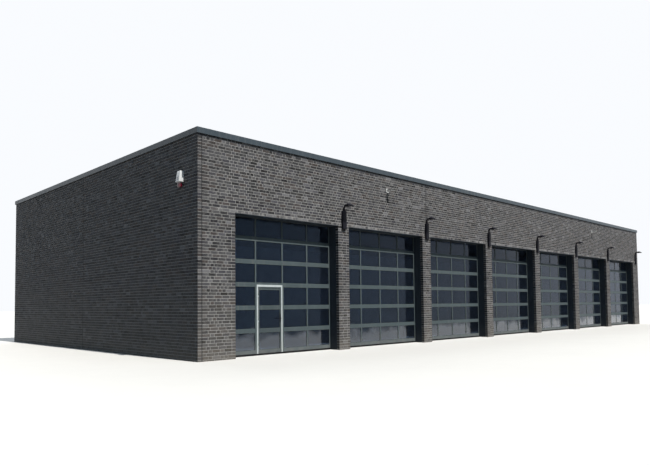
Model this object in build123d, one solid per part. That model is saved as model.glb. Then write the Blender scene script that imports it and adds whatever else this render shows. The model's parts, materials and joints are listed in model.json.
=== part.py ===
from build123d import *
from math import atan2, cos, degrees, pi, radians, sin
import os

# Fire station vehicle hall: one storey of dark clinker brick, seven bays with glazed sectional
# doors set back in the front wall, a pass door in the first bay, and a flat roof behind a parapet.
# Units are millimetres. +X runs along the front from left to right, the front faces -Y, +Z is up.
# The origin is the middle of the hall's footprint at ground level.

# Bays and plan
BAY_COUNT = 7
BAY_OPENING = 4010.0
PIER_WIDTH = 490.0
END_PIER_LEFT = 1175.0
END_PIER_RIGHT = 865.0
HALL_DEPTH = 14490.0
WALL_THICKNESS = 400.0

# Heights
COURSE_COUNT = 72
COURSE_HEIGHT = 250.0 / 3.0
OPENING_HEIGHT = 3960.0
FLOOR_RISE = 30.0
PARAPET_HEIGHT = 650.0
INSULATION_THICKNESS = 200.0
DECK_THICKNESS = 320.0

# Coping and the metal upstand behind it
COPING_OVERHANG = 40.0
COPING_RISE = 83.0
COPING_FALL = 23.0
FASCIA_DROP = 70.0
FASCIA_SHEET = 25.0
INNER_LIP_DROP = 50.0
INNER_LIP_SHEET = 15.0
UPSTAND_SHEET = 15.0
UPSTAND_GAP = 1.0

# Sheet lining of each bay: under the lintel, and down the jambs behind the facing bricks
SOFFIT_SHEET = 12.0
JAMB_SHEET = 8.0
FACING_DEPTH = 115.0

# Sectional doors: each section stands on the tongue of the one below it
DOOR_ROWS = 6
DOOR_COLUMNS = 4
HEAD_LAP = 50.0
BOTTOM_SECTION_EXTRA = 20.0
LEAF_THICKNESS = 42.0
SIDE_SEAL = 6.0
BOTTOM_SEAL = 25.0
LEAF_OVERLAP = 30.0
SECTION_RAIL = 63.0
BOTTOM_RAIL = 105.0
TOP_RAIL = 70.0
STILE_SIGHT = 50.0
MULLION = 50.0
SECTION_GAP = 4.0
TONGUE_WIDTH = 14.0
TONGUE_LAP = 6.0
TONGUE_CLEARANCE = 1.0

# Panes, each in a rebate behind the section's front lip
FRONT_LIP = 10.0
PANE_THICKNESS = 22.0
PANE_COVER = 8.0

# Tracks
TRACK_WIDTH = 70.0
TRACK_DEPTH = 90.0
TRACK_SHEET = 6.0
TRACK_HEAD = 120.0

# Pass door in the first bay, in place of the second column, and a little right of its middle
WICKET_FRAME_FACE = 82.0
WICKET_FRAME_PROUD = 10.0
WICKET_OUTER_WIDTH = 1030.0
WICKET_OFFSET = 10.0
WICKET_THRESHOLD = 20.0
WICKET_GAP_HINGE = 6.0
WICKET_GAP_LOCK = 8.0
WICKET_GAP_HEAD = 6.0
WICKET_GAP_FOOT = 6.0
WICKET_STILE = 46.0
WICKET_TOP_RAIL = 60.0
HINGE_RADIUS = 8.0
KNUCKLE_LENGTH = 45.0
KNUCKLE_GAP = 0.3
HINGE_PLATE = 40.0
HINGE_SHEET = 3.0
HINGE_FROM_END = 220.0
HANDLE_HEIGHT = 1050.0
HANDLE_LEVER = 125.0
HANDLE_STANDOFF = 52.0
HANDLE_RADIUS = 10.0
HANDLE_BEND = 18.0
HANDLE_PLATE_HEIGHT = 220.0
HANDLE_PLATE_WIDTH = 34.0
HANDLE_PLATE_SHEET = 5.0
BAR_SIDES = 8

# Wall lights, one over each pier to the right of a bay
LIGHT_BOX_WIDTH = 200.0
LIGHT_BOX_DEPTH = 90.0
LIGHT_BOX_BELOW_LINTEL = 110.0
LIGHT_BOX_HEIGHT = 605.0
LIGHT_BOX_CHAMFER = 12.0
LIGHT_ARM_RADIUS = 24.0
LIGHT_ARM_RISE = 80.0
LIGHT_ARM_BEND = 95.0
LIGHT_ARM_BEND_RUNS = 3
LIGHT_ARM_REACH = 15.0
LIGHT_HEAD_WIDTH = 210.0
LIGHT_HEAD_LENGTH = 250.0
LIGHT_HEAD_ABOVE_ARM = 46.0
LIGHT_HEAD_BELOW_ARM = 64.0
LIGHT_HEAD_FLAT = 125.0
LIGHT_HEAD_CORNER = 60.0
LIGHT_NOSE_FOOT = 14.0
LIGHT_NOSE_HEIGHT = 16.0
LIGHT_CROWN_FROM_BACK = 112.0
LIGHT_CROWN_DROP = 8.0

# Overflow spouts above the second and sixth bay
SPOUT_WIDTH = 100.0
SPOUT_HEIGHT = 80.0
SPOUT_REACH = 250.0
SPOUT_SHEET = 6.0
SPOUT_POCKET = 200.0
SPOUT_ABOVE_ROOF = 10.0
SPOUT_FLANGE = 25.0
SPOUT_FLANGE_SHEET = 6.0

# Alarm sounder on the left wall, with a flash lens under it
SOUNDER_FROM_FRONT = 750.0
SOUNDER_BELOW_WALL_TOP = 960.0
SOUNDER_HEIGHT = 300.0
SOUNDER_TOP_WIDTH = 160.0
SOUNDER_FOOT_WIDTH = 185.0
SOUNDER_TOP_DEPTH = 110.0
SOUNDER_FOOT_DEPTH = 160.0
LENS_RADIUS = 60.0
LENS_COLLAR = 100.0
LENS_BANDS = 4
LENS_SIDES = 16

# Derived places
HALL_LENGTH = (END_PIER_LEFT + BAY_COUNT * BAY_OPENING + (BAY_COUNT - 1) * PIER_WIDTH
               + END_PIER_RIGHT)
WALL_HEIGHT = COURSE_COUNT * COURSE_HEIGHT
ROOF_TOP = WALL_HEIGHT - PARAPET_HEIGHT
LEFT = -HALL_LENGTH / 2
RIGHT = HALL_LENGTH / 2
FRONT = -HALL_DEPTH / 2
REAR = HALL_DEPTH / 2
INNER_LEFT = LEFT + WALL_THICKNESS
INNER_RIGHT = RIGHT - WALL_THICKNESS
INNER_FRONT = FRONT + WALL_THICKNESS
INNER_REAR = REAR - WALL_THICKNESS
BAY_LEFTS = [LEFT + END_PIER_LEFT + i * (BAY_OPENING + PIER_WIDTH) for i in range(BAY_COUNT)]
SPOUT_BAYS = (1, BAY_COUNT - 2)
CLEAR_HEIGHT = OPENING_HEIGHT - SOFFIT_SHEET
LEAF_FRONT = INNER_FRONT + SIDE_SEAL
LEAF_BACK = LEAF_FRONT + LEAF_THICKNESS
LEAF_FOOT = FLOOR_RISE + BOTTOM_SEAL
COLUMN_WIDTH = BAY_OPENING / DOOR_COLUMNS
SECTIONS_FROM = FLOOR_RISE + BOTTOM_SECTION_EXTRA
SECTION_HEIGHT = (OPENING_HEIGHT + HEAD_LAP - SECTIONS_FROM) / DOOR_ROWS
ROW_EDGES = [LEAF_FOOT] + [SECTIONS_FROM + (i + 1) * SECTION_HEIGHT for i in range(DOOR_ROWS)]


def block(x0, x1, y0, y1, z0, z1):
    """Return a box between two corners."""
    return Pos((x0 + x1) / 2, (y0 + y1) / 2, (z0 + z1) / 2) * Box(x1 - x0, y1 - y0, z1 - z0)


def gather(solids):
    """Return separate solids as one compound, so that they share a node."""
    return Compound(children=list(solids))


def bar(points, radius):
    """Return a many-sided bar along straight runs, mitred where they meet."""
    path = Polyline(*points)
    ring = Plane(origin=path @ 0, z_dir=path % 0) * RegularPolygon(radius, BAR_SIDES)
    return sweep(ring, path=path, transition=Transition.RIGHT)


def save(shape, name):
    """Write one node to its STEP file."""
    export_step(shape, os.path.join("parts", name + ".step"))


# Walls, floor and roof

def walls():
    """Return the outer walls: two sides, the rear, the piers and the band over the doors."""
    nodes = {
        "left_wall": block(LEFT, INNER_LEFT, FRONT, REAR, 0, WALL_HEIGHT),
        "right_wall": block(INNER_RIGHT, RIGHT, FRONT, REAR, 0, WALL_HEIGHT),
        "rear_wall": block(INNER_LEFT, INNER_RIGHT, INNER_REAR, REAR, 0, WALL_HEIGHT),
        "front_band": block(INNER_LEFT, INNER_RIGHT, FRONT, INNER_FRONT, OPENING_HEIGHT, WALL_HEIGHT),
        "front_end_pier_left": block(INNER_LEFT, BAY_LEFTS[0], FRONT, INNER_FRONT, 0, OPENING_HEIGHT),
        "front_end_pier_right": block(BAY_LEFTS[-1] + BAY_OPENING, INNER_RIGHT, FRONT, INNER_FRONT, 0,
                                      OPENING_HEIGHT),
    }
    pier_lefts = [x + BAY_OPENING for x in BAY_LEFTS[:-1]]
    nodes["front_piers"] = gather([block(x, x + PIER_WIDTH, FRONT, INNER_FRONT, 0, OPENING_HEIGHT)
                                   for x in pier_lefts])
    return nodes


def floor_and_roof():
    """Return the floor, the roof deck and the roof covering."""
    deck_top = ROOF_TOP - INSULATION_THICKNESS
    return {
        "hall_floor": block(INNER_LEFT, INNER_RIGHT, INNER_FRONT, INNER_REAR, 0, FLOOR_RISE),
        "roof_deck": block(INNER_LEFT, INNER_RIGHT, INNER_FRONT, INNER_REAR,
                           deck_top - DECK_THICKNESS, deck_top),
        "roof_covering": block(INNER_LEFT, INNER_RIGHT, INNER_FRONT, INNER_REAR, deck_top, ROOF_TOP),
    }


def opening_linings():
    """Return the sheets that line each bay: one under the lintel and one down each jamb."""
    sheets = []
    for left in BAY_LEFTS:
        right = left + BAY_OPENING
        sheets.append(block(left, right, FRONT, INNER_FRONT, CLEAR_HEIGHT, OPENING_HEIGHT))
        for a, b in ((left, left + JAMB_SHEET), (right - JAMB_SHEET, right)):
            sheets.append(block(a, b, FRONT + FACING_DEPTH, INNER_FRONT, 0, CLEAR_HEIGHT))
    return gather(sheets)


def coping_profile():
    """Return the capping's section: x outward from the wall's outer face, y up from the wall top."""
    inner = -(WALL_THICKNESS + UPSTAND_SHEET + INNER_LIP_SHEET)
    seat = -(WALL_THICKNESS + UPSTAND_SHEET)
    shadow_gap = COPING_OVERHANG - FASCIA_SHEET
    return Polyline(
        (COPING_OVERHANG, -FASCIA_DROP),
        (COPING_OVERHANG, COPING_RISE),
        (inner, COPING_RISE - COPING_FALL),
        (inner, -INNER_LIP_DROP),
        (seat, -INNER_LIP_DROP),
        (seat, 0),
        (shadow_gap, 0),
        (shadow_gap, -FASCIA_DROP),
        close=True,
    )


def coping_run(length):
    """Return one mitred run of the capping along X, its outer side facing -Y at y = 0."""
    half = length / 2 + COPING_OVERHANG
    reach = WALL_THICKNESS + UPSTAND_SHEET + INNER_LIP_SHEET
    run = length / 2 - reach
    section = Plane(origin=(half, 0, WALL_HEIGHT), x_dir=(0, -1, 0), z_dir=(-1, 0, 0)) * coping_profile()
    bar = extrude(make_face(section), amount=2 * half)
    plan = Polyline((-half, -COPING_OVERHANG), (half, -COPING_OVERHANG), (run, reach), (-run, reach),
                    close=True)
    mitre = Pos(0, 0, WALL_HEIGHT - FASCIA_DROP) * extrude(make_face(plan),
                                                          amount=FASCIA_DROP + COPING_RISE)
    return bar & mitre


def copings():
    """Return the four capping runs, mitred at the corners."""
    return {
        "coping_front": Pos(0, FRONT, 0) * coping_run(HALL_LENGTH),
        "coping_rear": Pos(0, REAR, 0) * Rot(0, 0, 180) * coping_run(HALL_LENGTH),
        "coping_left": Pos(LEFT, 0, 0) * Rot(0, 0, -90) * coping_run(HALL_DEPTH),
        "coping_right": Pos(RIGHT, 0, 0) * Rot(0, 0, 90) * coping_run(HALL_DEPTH),
    }


def parapet_upstands():
    """Return the sheets that line the parapet's inner faces, from the roof up into the capping."""
    t, gap = UPSTAND_SHEET, UPSTAND_GAP
    return gather([
        block(INNER_LEFT, INNER_RIGHT, INNER_FRONT, INNER_FRONT + t, ROOF_TOP, WALL_HEIGHT),
        block(INNER_LEFT, INNER_RIGHT, INNER_REAR - t, INNER_REAR, ROOF_TOP, WALL_HEIGHT),
        block(INNER_LEFT, INNER_LEFT + t, INNER_FRONT + t + gap, INNER_REAR - t - gap, ROOF_TOP,
              WALL_HEIGHT),
        block(INNER_RIGHT - t, INNER_RIGHT, INNER_FRONT + t + gap, INNER_REAR - t - gap, ROOF_TOP,
              WALL_HEIGHT),
    ])


# Sectional doors

def pane_cells(bay_left, columns, rows):
    """Return the glazed cells (x0, x1, z0, z1) of a stretch of one door.

    columns and rows are ranges of whole cells, counted from the left jamb and from the floor.
    """
    cells = []
    for column in columns:
        x0 = bay_left + column * COLUMN_WIDTH + (STILE_SIGHT if column == 0 else MULLION / 2)
        last = column == DOOR_COLUMNS - 1
        x1 = bay_left + (column + 1) * COLUMN_WIDTH - (STILE_SIGHT if last else MULLION / 2)
        for row in rows:
            z0 = ROW_EDGES[row] + (BOTTOM_RAIL if row == 0 else SECTION_RAIL)
            z1 = ROW_EDGES[row + 1] - (TOP_RAIL if row == DOOR_ROWS - 1 else SECTION_RAIL)
            cells.append((x0, x1, z0, z1))
    return cells


def section_profile(z0, z1, grooved, tongued):
    """Return a section's upright profile: x into the hall from the leaf's front, y up.

    grooved gives its foot the groove for the section below, tongued its head the tongue for the
    one above.
    """
    middle = LEAF_THICKNESS / 2
    points = [(0, z0)]
    if grooved:
        half = TONGUE_WIDTH / 2 + TONGUE_CLEARANCE
        head = z0 + TONGUE_LAP + TONGUE_CLEARANCE
        points += [(middle - half, z0), (middle - half, head), (middle + half, head), (middle + half, z0)]
    points += [(LEAF_THICKNESS, z0), (LEAF_THICKNESS, z1)]
    if tongued:
        half = TONGUE_WIDTH / 2
        head = z1 + SECTION_GAP + TONGUE_LAP
        points += [(middle + half, z1), (middle + half, head), (middle - half, head), (middle - half, z1)]
    points.append((0, z1))
    return make_face(Polyline(*points, close=True))


def leaf_sections(x0, x1, edges, cells, below=False, above=False):
    """Return a stretch of leaf between x0 and x1, one solid for each section between two edges.

    Each cell is cut through its section, and behind the front lip it widens to the pane's rebate.
    below and above say that the leaf goes on past the first and the last edge.
    """
    sections = []
    for row, (low, high) in enumerate(zip(edges, edges[1:])):
        grooved, tongued = below or row > 0, above or row < len(edges) - 2
        foot = low + (SECTION_GAP / 2 if grooved else 0)
        head = high - (SECTION_GAP / 2 if tongued else 0)
        across = Plane(origin=(x0, LEAF_FRONT, 0), x_dir=(0, 1, 0), z_dir=(1, 0, 0))
        section = extrude(across * section_profile(foot, head, grooved, tongued), amount=x1 - x0)
        for a, b, c, d in cells:
            if low < c < high:
                section -= block(a, b, LEAF_FRONT, LEAF_BACK, c, d)
                section -= block(a - PANE_COVER, b + PANE_COVER, LEAF_FRONT + FRONT_LIP, LEAF_BACK,
                                 c - PANE_COVER, d + PANE_COVER)
        sections.append(section)
    return gather(sections)


def panes(cells):
    """Return one pane for each cell, seated in its rebate against the front lip."""
    y0 = LEAF_FRONT + FRONT_LIP
    return [block(a - PANE_COVER, b + PANE_COVER, y0, y0 + PANE_THICKNESS, c - PANE_COVER,
                  d + PANE_COVER) for a, b, c, d in cells]


def plain_doors():
    """Return leaf and glazing of every bay but the first."""
    nodes = {}
    for number, bay_left in enumerate(BAY_LEFTS[1:], start=2):
        cells = pane_cells(bay_left, range(DOOR_COLUMNS), range(DOOR_ROWS))
        nodes[f"door_leaf_{number}"] = leaf_sections(
            bay_left - LEAF_OVERLAP, bay_left + BAY_OPENING + LEAF_OVERLAP, ROW_EDGES, cells)
        nodes[f"door_glazing_{number}"] = gather(panes(cells))
    return nodes


# Pass door

WICKET_ROWS = 3
WICKET_CENTRE = BAY_LEFTS[0] + 1.5 * COLUMN_WIDTH + WICKET_OFFSET
WICKET_LEFT = WICKET_CENTRE - WICKET_OUTER_WIDTH / 2
WICKET_RIGHT = WICKET_CENTRE + WICKET_OUTER_WIDTH / 2
WICKET_TOP = ROW_EDGES[WICKET_ROWS]
WICKET_LEAF_LEFT = WICKET_LEFT + WICKET_FRAME_FACE + WICKET_GAP_HINGE
WICKET_LEAF_RIGHT = WICKET_RIGHT - WICKET_FRAME_FACE - WICKET_GAP_LOCK
WICKET_LEAF_FOOT = FLOOR_RISE + WICKET_THRESHOLD + WICKET_GAP_FOOT
WICKET_LEAF_TOP = WICKET_TOP - WICKET_FRAME_FACE - WICKET_GAP_HEAD
HINGE_X = WICKET_LEAF_LEFT - WICKET_GAP_HINGE / 2
HINGE_Y = LEAF_FRONT - WICKET_FRAME_PROUD - HINGE_RADIUS
HINGE_HEIGHTS = [WICKET_LEAF_FOOT + HINGE_FROM_END, (WICKET_LEAF_FOOT + WICKET_LEAF_TOP) / 2,
                 WICKET_LEAF_TOP - HINGE_FROM_END]


def first_door():
    """Return the first bay's door in three stretches round the pass door, with their glazing."""
    bay_left = BAY_LEFTS[0]
    bay_right = bay_left + BAY_OPENING
    low_rows, high_rows = range(WICKET_ROWS), range(WICKET_ROWS, DOOR_ROWS)
    low_edges, high_edges = ROW_EDGES[:WICKET_ROWS + 1], ROW_EDGES[WICKET_ROWS:]
    stretches = {
        "left": (bay_left - LEAF_OVERLAP, WICKET_LEFT, low_edges, range(0, 1), low_rows),
        "right": (WICKET_RIGHT, bay_right + LEAF_OVERLAP, low_edges, range(2, DOOR_COLUMNS), low_rows),
        "upper": (bay_left - LEAF_OVERLAP, bay_right + LEAF_OVERLAP, high_edges, range(DOOR_COLUMNS),
                  high_rows),
    }
    nodes = {}
    glazing = []
    for name, (x0, x1, edges, columns, rows) in stretches.items():
        cells = pane_cells(bay_left, columns, rows)
        if name == "left":
            cells = [(a, WICKET_LEFT - MULLION / 2, c, d) for a, b, c, d in cells]
        if name == "right":
            cells = [(max(a, WICKET_RIGHT + MULLION / 2), b, c, d) for a, b, c, d in cells]
        upper = edges is high_edges
        nodes[f"door_leaf_1_{name}"] = leaf_sections(x0, x1, edges, cells, below=upper, above=not upper)
        glazing += panes(cells)
    nodes["door_glazing_1"] = gather(glazing)
    return nodes


def wicket_frame():
    """Return the pass door's bright frame: two legs and a head, proud of the sectional leaf."""
    y0, y1 = LEAF_FRONT - WICKET_FRAME_PROUD, LEAF_BACK
    outer = block(WICKET_LEFT, WICKET_RIGHT, y0, y1, FLOOR_RISE, WICKET_TOP)
    inner = block(WICKET_LEFT + WICKET_FRAME_FACE, WICKET_RIGHT - WICKET_FRAME_FACE, y0 - 1, y1 + 1,
                  FLOOR_RISE - 1, WICKET_TOP - WICKET_FRAME_FACE)
    return outer - inner


def wicket_cells():
    """Return the glazed cells of the pass door, level with those of the sectional leaf."""
    x0, x1 = WICKET_LEAF_LEFT + WICKET_STILE, WICKET_LEAF_RIGHT - WICKET_STILE
    cells = []
    for row in range(WICKET_ROWS):
        z0 = ROW_EDGES[row] + (BOTTOM_RAIL if row == 0 else SECTION_RAIL)
        z1 = ROW_EDGES[row + 1] - SECTION_RAIL
        if row == WICKET_ROWS - 1:
            z1 = WICKET_LEAF_TOP - WICKET_TOP_RAIL
        cells.append((x0, x1, z0, z1))
    return cells


def wicket_leaf():
    """Return the pass door's leaf in its sections, each carried by one hinge."""
    edges = [WICKET_LEAF_FOOT] + ROW_EDGES[1:WICKET_ROWS] + [WICKET_LEAF_TOP]
    return leaf_sections(WICKET_LEAF_LEFT, WICKET_LEAF_RIGHT, edges, wicket_cells())


def wicket_handle():
    """Return the lever handles on both faces of the leaf, each a lever on a long plate."""
    x = WICKET_LEAF_RIGHT - WICKET_STILE / 2
    solids = []
    for face, side in ((LEAF_FRONT, -1), (LEAF_BACK, 1)):
        plate = Pos(x, face + side * HANDLE_PLATE_SHEET / 2, HANDLE_HEIGHT) * Box(
            HANDLE_PLATE_WIDTH, HANDLE_PLATE_SHEET, HANDLE_PLATE_HEIGHT)
        start = face + side * HANDLE_PLATE_SHEET
        grip = start + side * HANDLE_STANDOFF
        lever = bar([(x, start, HANDLE_HEIGHT), (x, grip - side * HANDLE_BEND, HANDLE_HEIGHT),
                     (x - HANDLE_BEND, grip, HANDLE_HEIGHT), (x - HANDLE_LEVER, grip, HANDLE_HEIGHT)],
                    HANDLE_RADIUS)
        solids.append(plate + lever)
    return gather(solids)


def wicket_hinges():
    """Return the three hinges: lower knuckles on the frame's leg, upper knuckles on the leaf."""
    fixed, moving = [], []
    edge = HINGE_X - WICKET_GAP_HINGE / 2
    frame_face = LEAF_FRONT - WICKET_FRAME_PROUD
    for z in HINGE_HEIGHTS:
        lower = z - KNUCKLE_LENGTH - KNUCKLE_GAP / 2
        upper = z + KNUCKLE_GAP / 2
        knuckle = Pos(HINGE_X, HINGE_Y, lower + KNUCKLE_LENGTH / 2) * Cylinder(HINGE_RADIUS,
                                                                             KNUCKLE_LENGTH)
        plate = block(edge - HINGE_PLATE, edge, frame_face - HINGE_SHEET, frame_face, lower,
                      lower + KNUCKLE_LENGTH)
        fixed.append(knuckle + plate)
        knuckle = Pos(HINGE_X, HINGE_Y, upper + KNUCKLE_LENGTH / 2) * Cylinder(HINGE_RADIUS,
                                                                             KNUCKLE_LENGTH)
        arm = block(HINGE_X, HINGE_X + HINGE_SHEET, HINGE_Y, LEAF_FRONT, upper, upper + KNUCKLE_LENGTH)
        plate = block(HINGE_X, WICKET_LEAF_LEFT + HINGE_PLATE, LEAF_FRONT - HINGE_SHEET, LEAF_FRONT,
                      upper, upper + KNUCKLE_LENGTH)
        moving.append(knuckle + arm + plate)
    return gather(fixed), gather(moving)


# Seals and tracks

def door_seals():
    """Return the rubber strips round the leaves and the pass door's low threshold."""
    solids = []
    for index, bay_left in enumerate(BAY_LEFTS):
        left, right = bay_left - LEAF_OVERLAP, bay_left + BAY_OPENING + LEAF_OVERLAP
        spans = [(left, right)]
        if index == 0:
            spans = [(left, WICKET_LEFT), (WICKET_RIGHT, right)]
        solids += [block(a, b, LEAF_FRONT, LEAF_BACK, FLOOR_RISE, LEAF_FOOT) for a, b in spans]
        for a, b in ((left, bay_left), (right - LEAF_OVERLAP, right)):
            solids.append(block(a, b, INNER_FRONT, LEAF_FRONT, FLOOR_RISE, ROW_EDGES[-1]))
        solids.append(block(bay_left + UPSTAND_GAP, bay_left + BAY_OPENING - UPSTAND_GAP, INNER_FRONT,
                            LEAF_FRONT, OPENING_HEIGHT, ROW_EDGES[-1]))
    solids.append(block(WICKET_LEFT + WICKET_FRAME_FACE, WICKET_RIGHT - WICKET_FRAME_FACE, LEAF_FRONT,
                        LEAF_BACK, FLOOR_RISE, FLOOR_RISE + WICKET_THRESHOLD))
    return gather(solids)


def door_tracks():
    """Return the angle tracks that hold the leaves' edges, two for each bay."""
    solids = []
    head = ROW_EDGES[-1] + TRACK_HEAD
    for bay_left in BAY_LEFTS:
        for edge, side in ((bay_left - LEAF_OVERLAP, -1), (bay_left + BAY_OPENING + LEAF_OVERLAP, 1)):
            web = block(min(edge, edge + side * TRACK_SHEET), max(edge, edge + side * TRACK_SHEET),
                        INNER_FRONT, INNER_FRONT + TRACK_DEPTH, FLOOR_RISE, head)
            foot = block(min(edge, edge + side * TRACK_WIDTH), max(edge, edge + side * TRACK_WIDTH),
                         INNER_FRONT, INNER_FRONT + TRACK_SHEET, FLOOR_RISE, head)
            solids.append(web + foot)
    return gather(solids)


# Wall fittings

def light_places():
    """Return the x of each wall light: the middle of the pier to the right of each bay."""
    places = [x + BAY_OPENING + PIER_WIDTH / 2 for x in BAY_LEFTS[:-1]]
    return places + [RIGHT - END_PIER_RIGHT / 2]


def light_arm_points(foot):
    """Return the arm's axis from the box's top at height foot: up, over and out to the head."""
    y = -LIGHT_BOX_DEPTH / 2
    spring = foot + LIGHT_ARM_RISE
    points = [(0, y, foot)]
    for step in range(LIGHT_ARM_BEND_RUNS + 1):
        angle = radians(90 * step / LIGHT_ARM_BEND_RUNS)
        points.append((0, y - LIGHT_ARM_BEND * (1 - cos(angle)), spring + LIGHT_ARM_BEND * sin(angle)))
    points.append((0, y - LIGHT_ARM_BEND - LIGHT_ARM_REACH, spring + LIGHT_ARM_BEND))
    return points


def wall_light():
    """Return box and arm, and head, of one light at x = 0 on a wall face at y = 0."""
    box_foot = OPENING_HEIGHT - LIGHT_BOX_BELOW_LINTEL
    box_top = box_foot + LIGHT_BOX_HEIGHT
    box = block(-LIGHT_BOX_WIDTH / 2, LIGHT_BOX_WIDTH / 2, -LIGHT_BOX_DEPTH, 0, box_foot, box_top)
    box = chamfer(box.edges().filter_by(Axis.Z).sort_by(Axis.Y)[:2], LIGHT_BOX_CHAMFER)
    points = light_arm_points(box_top)
    bracket = box + bar(points, LIGHT_ARM_RADIUS)
    back, axis_z = points[-1][1], points[-1][2]
    nose = back - LIGHT_HEAD_LENGTH
    crown = axis_z + LIGHT_HEAD_ABOVE_ARM
    base = axis_z - LIGHT_HEAD_BELOW_ARM
    nose_foot = base + LIGHT_NOSE_FOOT
    nose_top = nose_foot + LIGHT_NOSE_HEIGHT
    side = Plane.YZ * make_face([
        Line((back, base), (back, axis_z + LIGHT_ARM_RADIUS)),
        ThreePointArc((back, axis_z + LIGHT_ARM_RADIUS),
                      (back - LIGHT_CROWN_FROM_BACK, crown - LIGHT_CROWN_DROP), (nose, nose_top)),
        Line((nose, nose_top), (nose, nose_foot)),
        Line((nose, nose_foot), (back - LIGHT_HEAD_FLAT, base)),
        Line((back - LIGHT_HEAD_FLAT, base), (back, base)),
    ])
    head = extrude(side, amount=LIGHT_HEAD_WIDTH / 2, both=True)
    plan = Pos(0, (back + nose) / 2) * Rectangle(LIGHT_HEAD_WIDTH, LIGHT_HEAD_LENGTH)
    plan = Pos(0, 0, base) * chamfer(plan.vertices(), LIGHT_HEAD_CORNER)
    return bracket, head & extrude(plan, amount=crown - base)


def wall_lights():
    """Return all brackets and all heads."""
    bracket, head = wall_light()
    places = [Pos(x, FRONT, 0) for x in light_places()]
    return {
        "light_brackets": gather([place * bracket for place in places]),
        "light_heads": gather([place * head for place in places]),
    }


def overflow_spouts():
    """Return the square spouts that stand out of the front band just above the roof's level."""
    z0 = ROOF_TOP + SPOUT_ABOVE_ROOF
    spouts = []
    for bay in SPOUT_BAYS:
        x = BAY_LEFTS[bay] + BAY_OPENING / 2
        w = SPOUT_WIDTH / 2
        tube = block(x - w, x + w, FRONT - SPOUT_REACH, FRONT, z0, z0 + SPOUT_HEIGHT)
        pocket = block(x - w + SPOUT_SHEET, x + w - SPOUT_SHEET, FRONT - SPOUT_REACH - 1,
                       FRONT - SPOUT_REACH + SPOUT_POCKET, z0 + SPOUT_SHEET,
                       z0 + SPOUT_HEIGHT - SPOUT_SHEET)
        flange = block(x - w - SPOUT_FLANGE, x + w + SPOUT_FLANGE, FRONT - SPOUT_FLANGE_SHEET, FRONT,
                       z0 - SPOUT_FLANGE, z0 + SPOUT_HEIGHT + SPOUT_FLANGE)
        spouts.append(tube + flange - pocket)
    return gather(spouts)


def alarm_sounder():
    """Return the tapered sounder on the left wall and the flash lens under it."""
    foot = WALL_HEIGHT - SOUNDER_BELOW_WALL_TOP - SOUNDER_HEIGHT
    place = Pos(LEFT, FRONT + SOUNDER_FROM_FRONT, foot)
    side = Plane.XZ * Polyline((0, 0), (-SOUNDER_FOOT_DEPTH, 0), (-SOUNDER_TOP_DEPTH, SOUNDER_HEIGHT),
                               (0, SOUNDER_HEIGHT), close=True)
    face = Plane.YZ * Polyline((-SOUNDER_FOOT_WIDTH / 2, 0), (SOUNDER_FOOT_WIDTH / 2, 0),
                               (SOUNDER_TOP_WIDTH / 2, SOUNDER_HEIGHT),
                               (-SOUNDER_TOP_WIDTH / 2, SOUNDER_HEIGHT), close=True)
    housing = (extrude(make_face(side), amount=SOUNDER_FOOT_WIDTH / 2, both=True)
               & extrude(make_face(face), amount=-SOUNDER_FOOT_DEPTH))
    lens = extrude(RegularPolygon(LENS_RADIUS, LENS_SIDES), amount=LENS_COLLAR)
    height, radius = LENS_COLLAR, LENS_RADIUS
    for angle in (radians(90 * (step + 0.5) / LENS_BANDS) for step in range(LENS_BANDS)):
        rise = LENS_COLLAR + LENS_RADIUS * sin(angle) - height
        inset = (radius - LENS_RADIUS * cos(angle)) * cos(pi / LENS_SIDES)
        band = Pos(0, 0, height) * RegularPolygon(radius, LENS_SIDES)
        lens += extrude(band, amount=rise, taper=degrees(atan2(inset, rise)))
        height, radius = height + rise, LENS_RADIUS * cos(angle)
    return {"sounder_housing": place * housing,
            "sounder_lens": place * Pos(-SOUNDER_FOOT_DEPTH / 2, 0, 0) * Rot(180, 0, 0) * lens}


def main():
    """Build every node and write it."""
    os.makedirs("parts", exist_ok=True)
    nodes = {}
    nodes.update(walls())
    nodes.update(floor_and_roof())
    nodes["opening_linings"] = opening_linings()
    nodes.update(copings())
    nodes["parapet_upstands"] = parapet_upstands()
    nodes.update(first_door())
    nodes.update(plain_doors())
    nodes["wicket_frame"] = wicket_frame()
    nodes["wicket_leaf"] = wicket_leaf()
    nodes["wicket_glazing"] = gather(panes(wicket_cells()))
    nodes["wicket_handle"] = wicket_handle()
    nodes["wicket_hinges"], nodes["wicket_hinge_leaves"] = wicket_hinges()
    nodes["door_seals"] = door_seals()
    nodes["door_tracks"] = door_tracks()
    nodes.update(wall_lights())
    nodes["overflow_spouts"] = overflow_spouts()
    nodes.update(alarm_sounder())
    for name, shape in nodes.items():
        save(shape, name)
    print(len(nodes), "nodes")
    print("hinge axis", round(HINGE_X, 1), round(HINGE_Y, 1))


if __name__ == "__main__":
    main()
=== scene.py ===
"""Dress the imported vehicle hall: brick facing, metalwork, doors, fittings, finishes and the studio.

Everything is in metres in the hall's own frame. +X runs along the front from left to right, the
front faces -Y, +Z is up, and the origin is the middle of the footprint at ground level.
"""

from __future__ import annotations

import json
import logging
import math
import random
from contextlib import contextmanager
from dataclasses import dataclass, field
from enum import Enum, IntEnum
from typing import Callable, Iterator, NamedTuple, Sequence

import bmesh
import bpy
import numpy as np
from mathutils import Matrix, Vector


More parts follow.
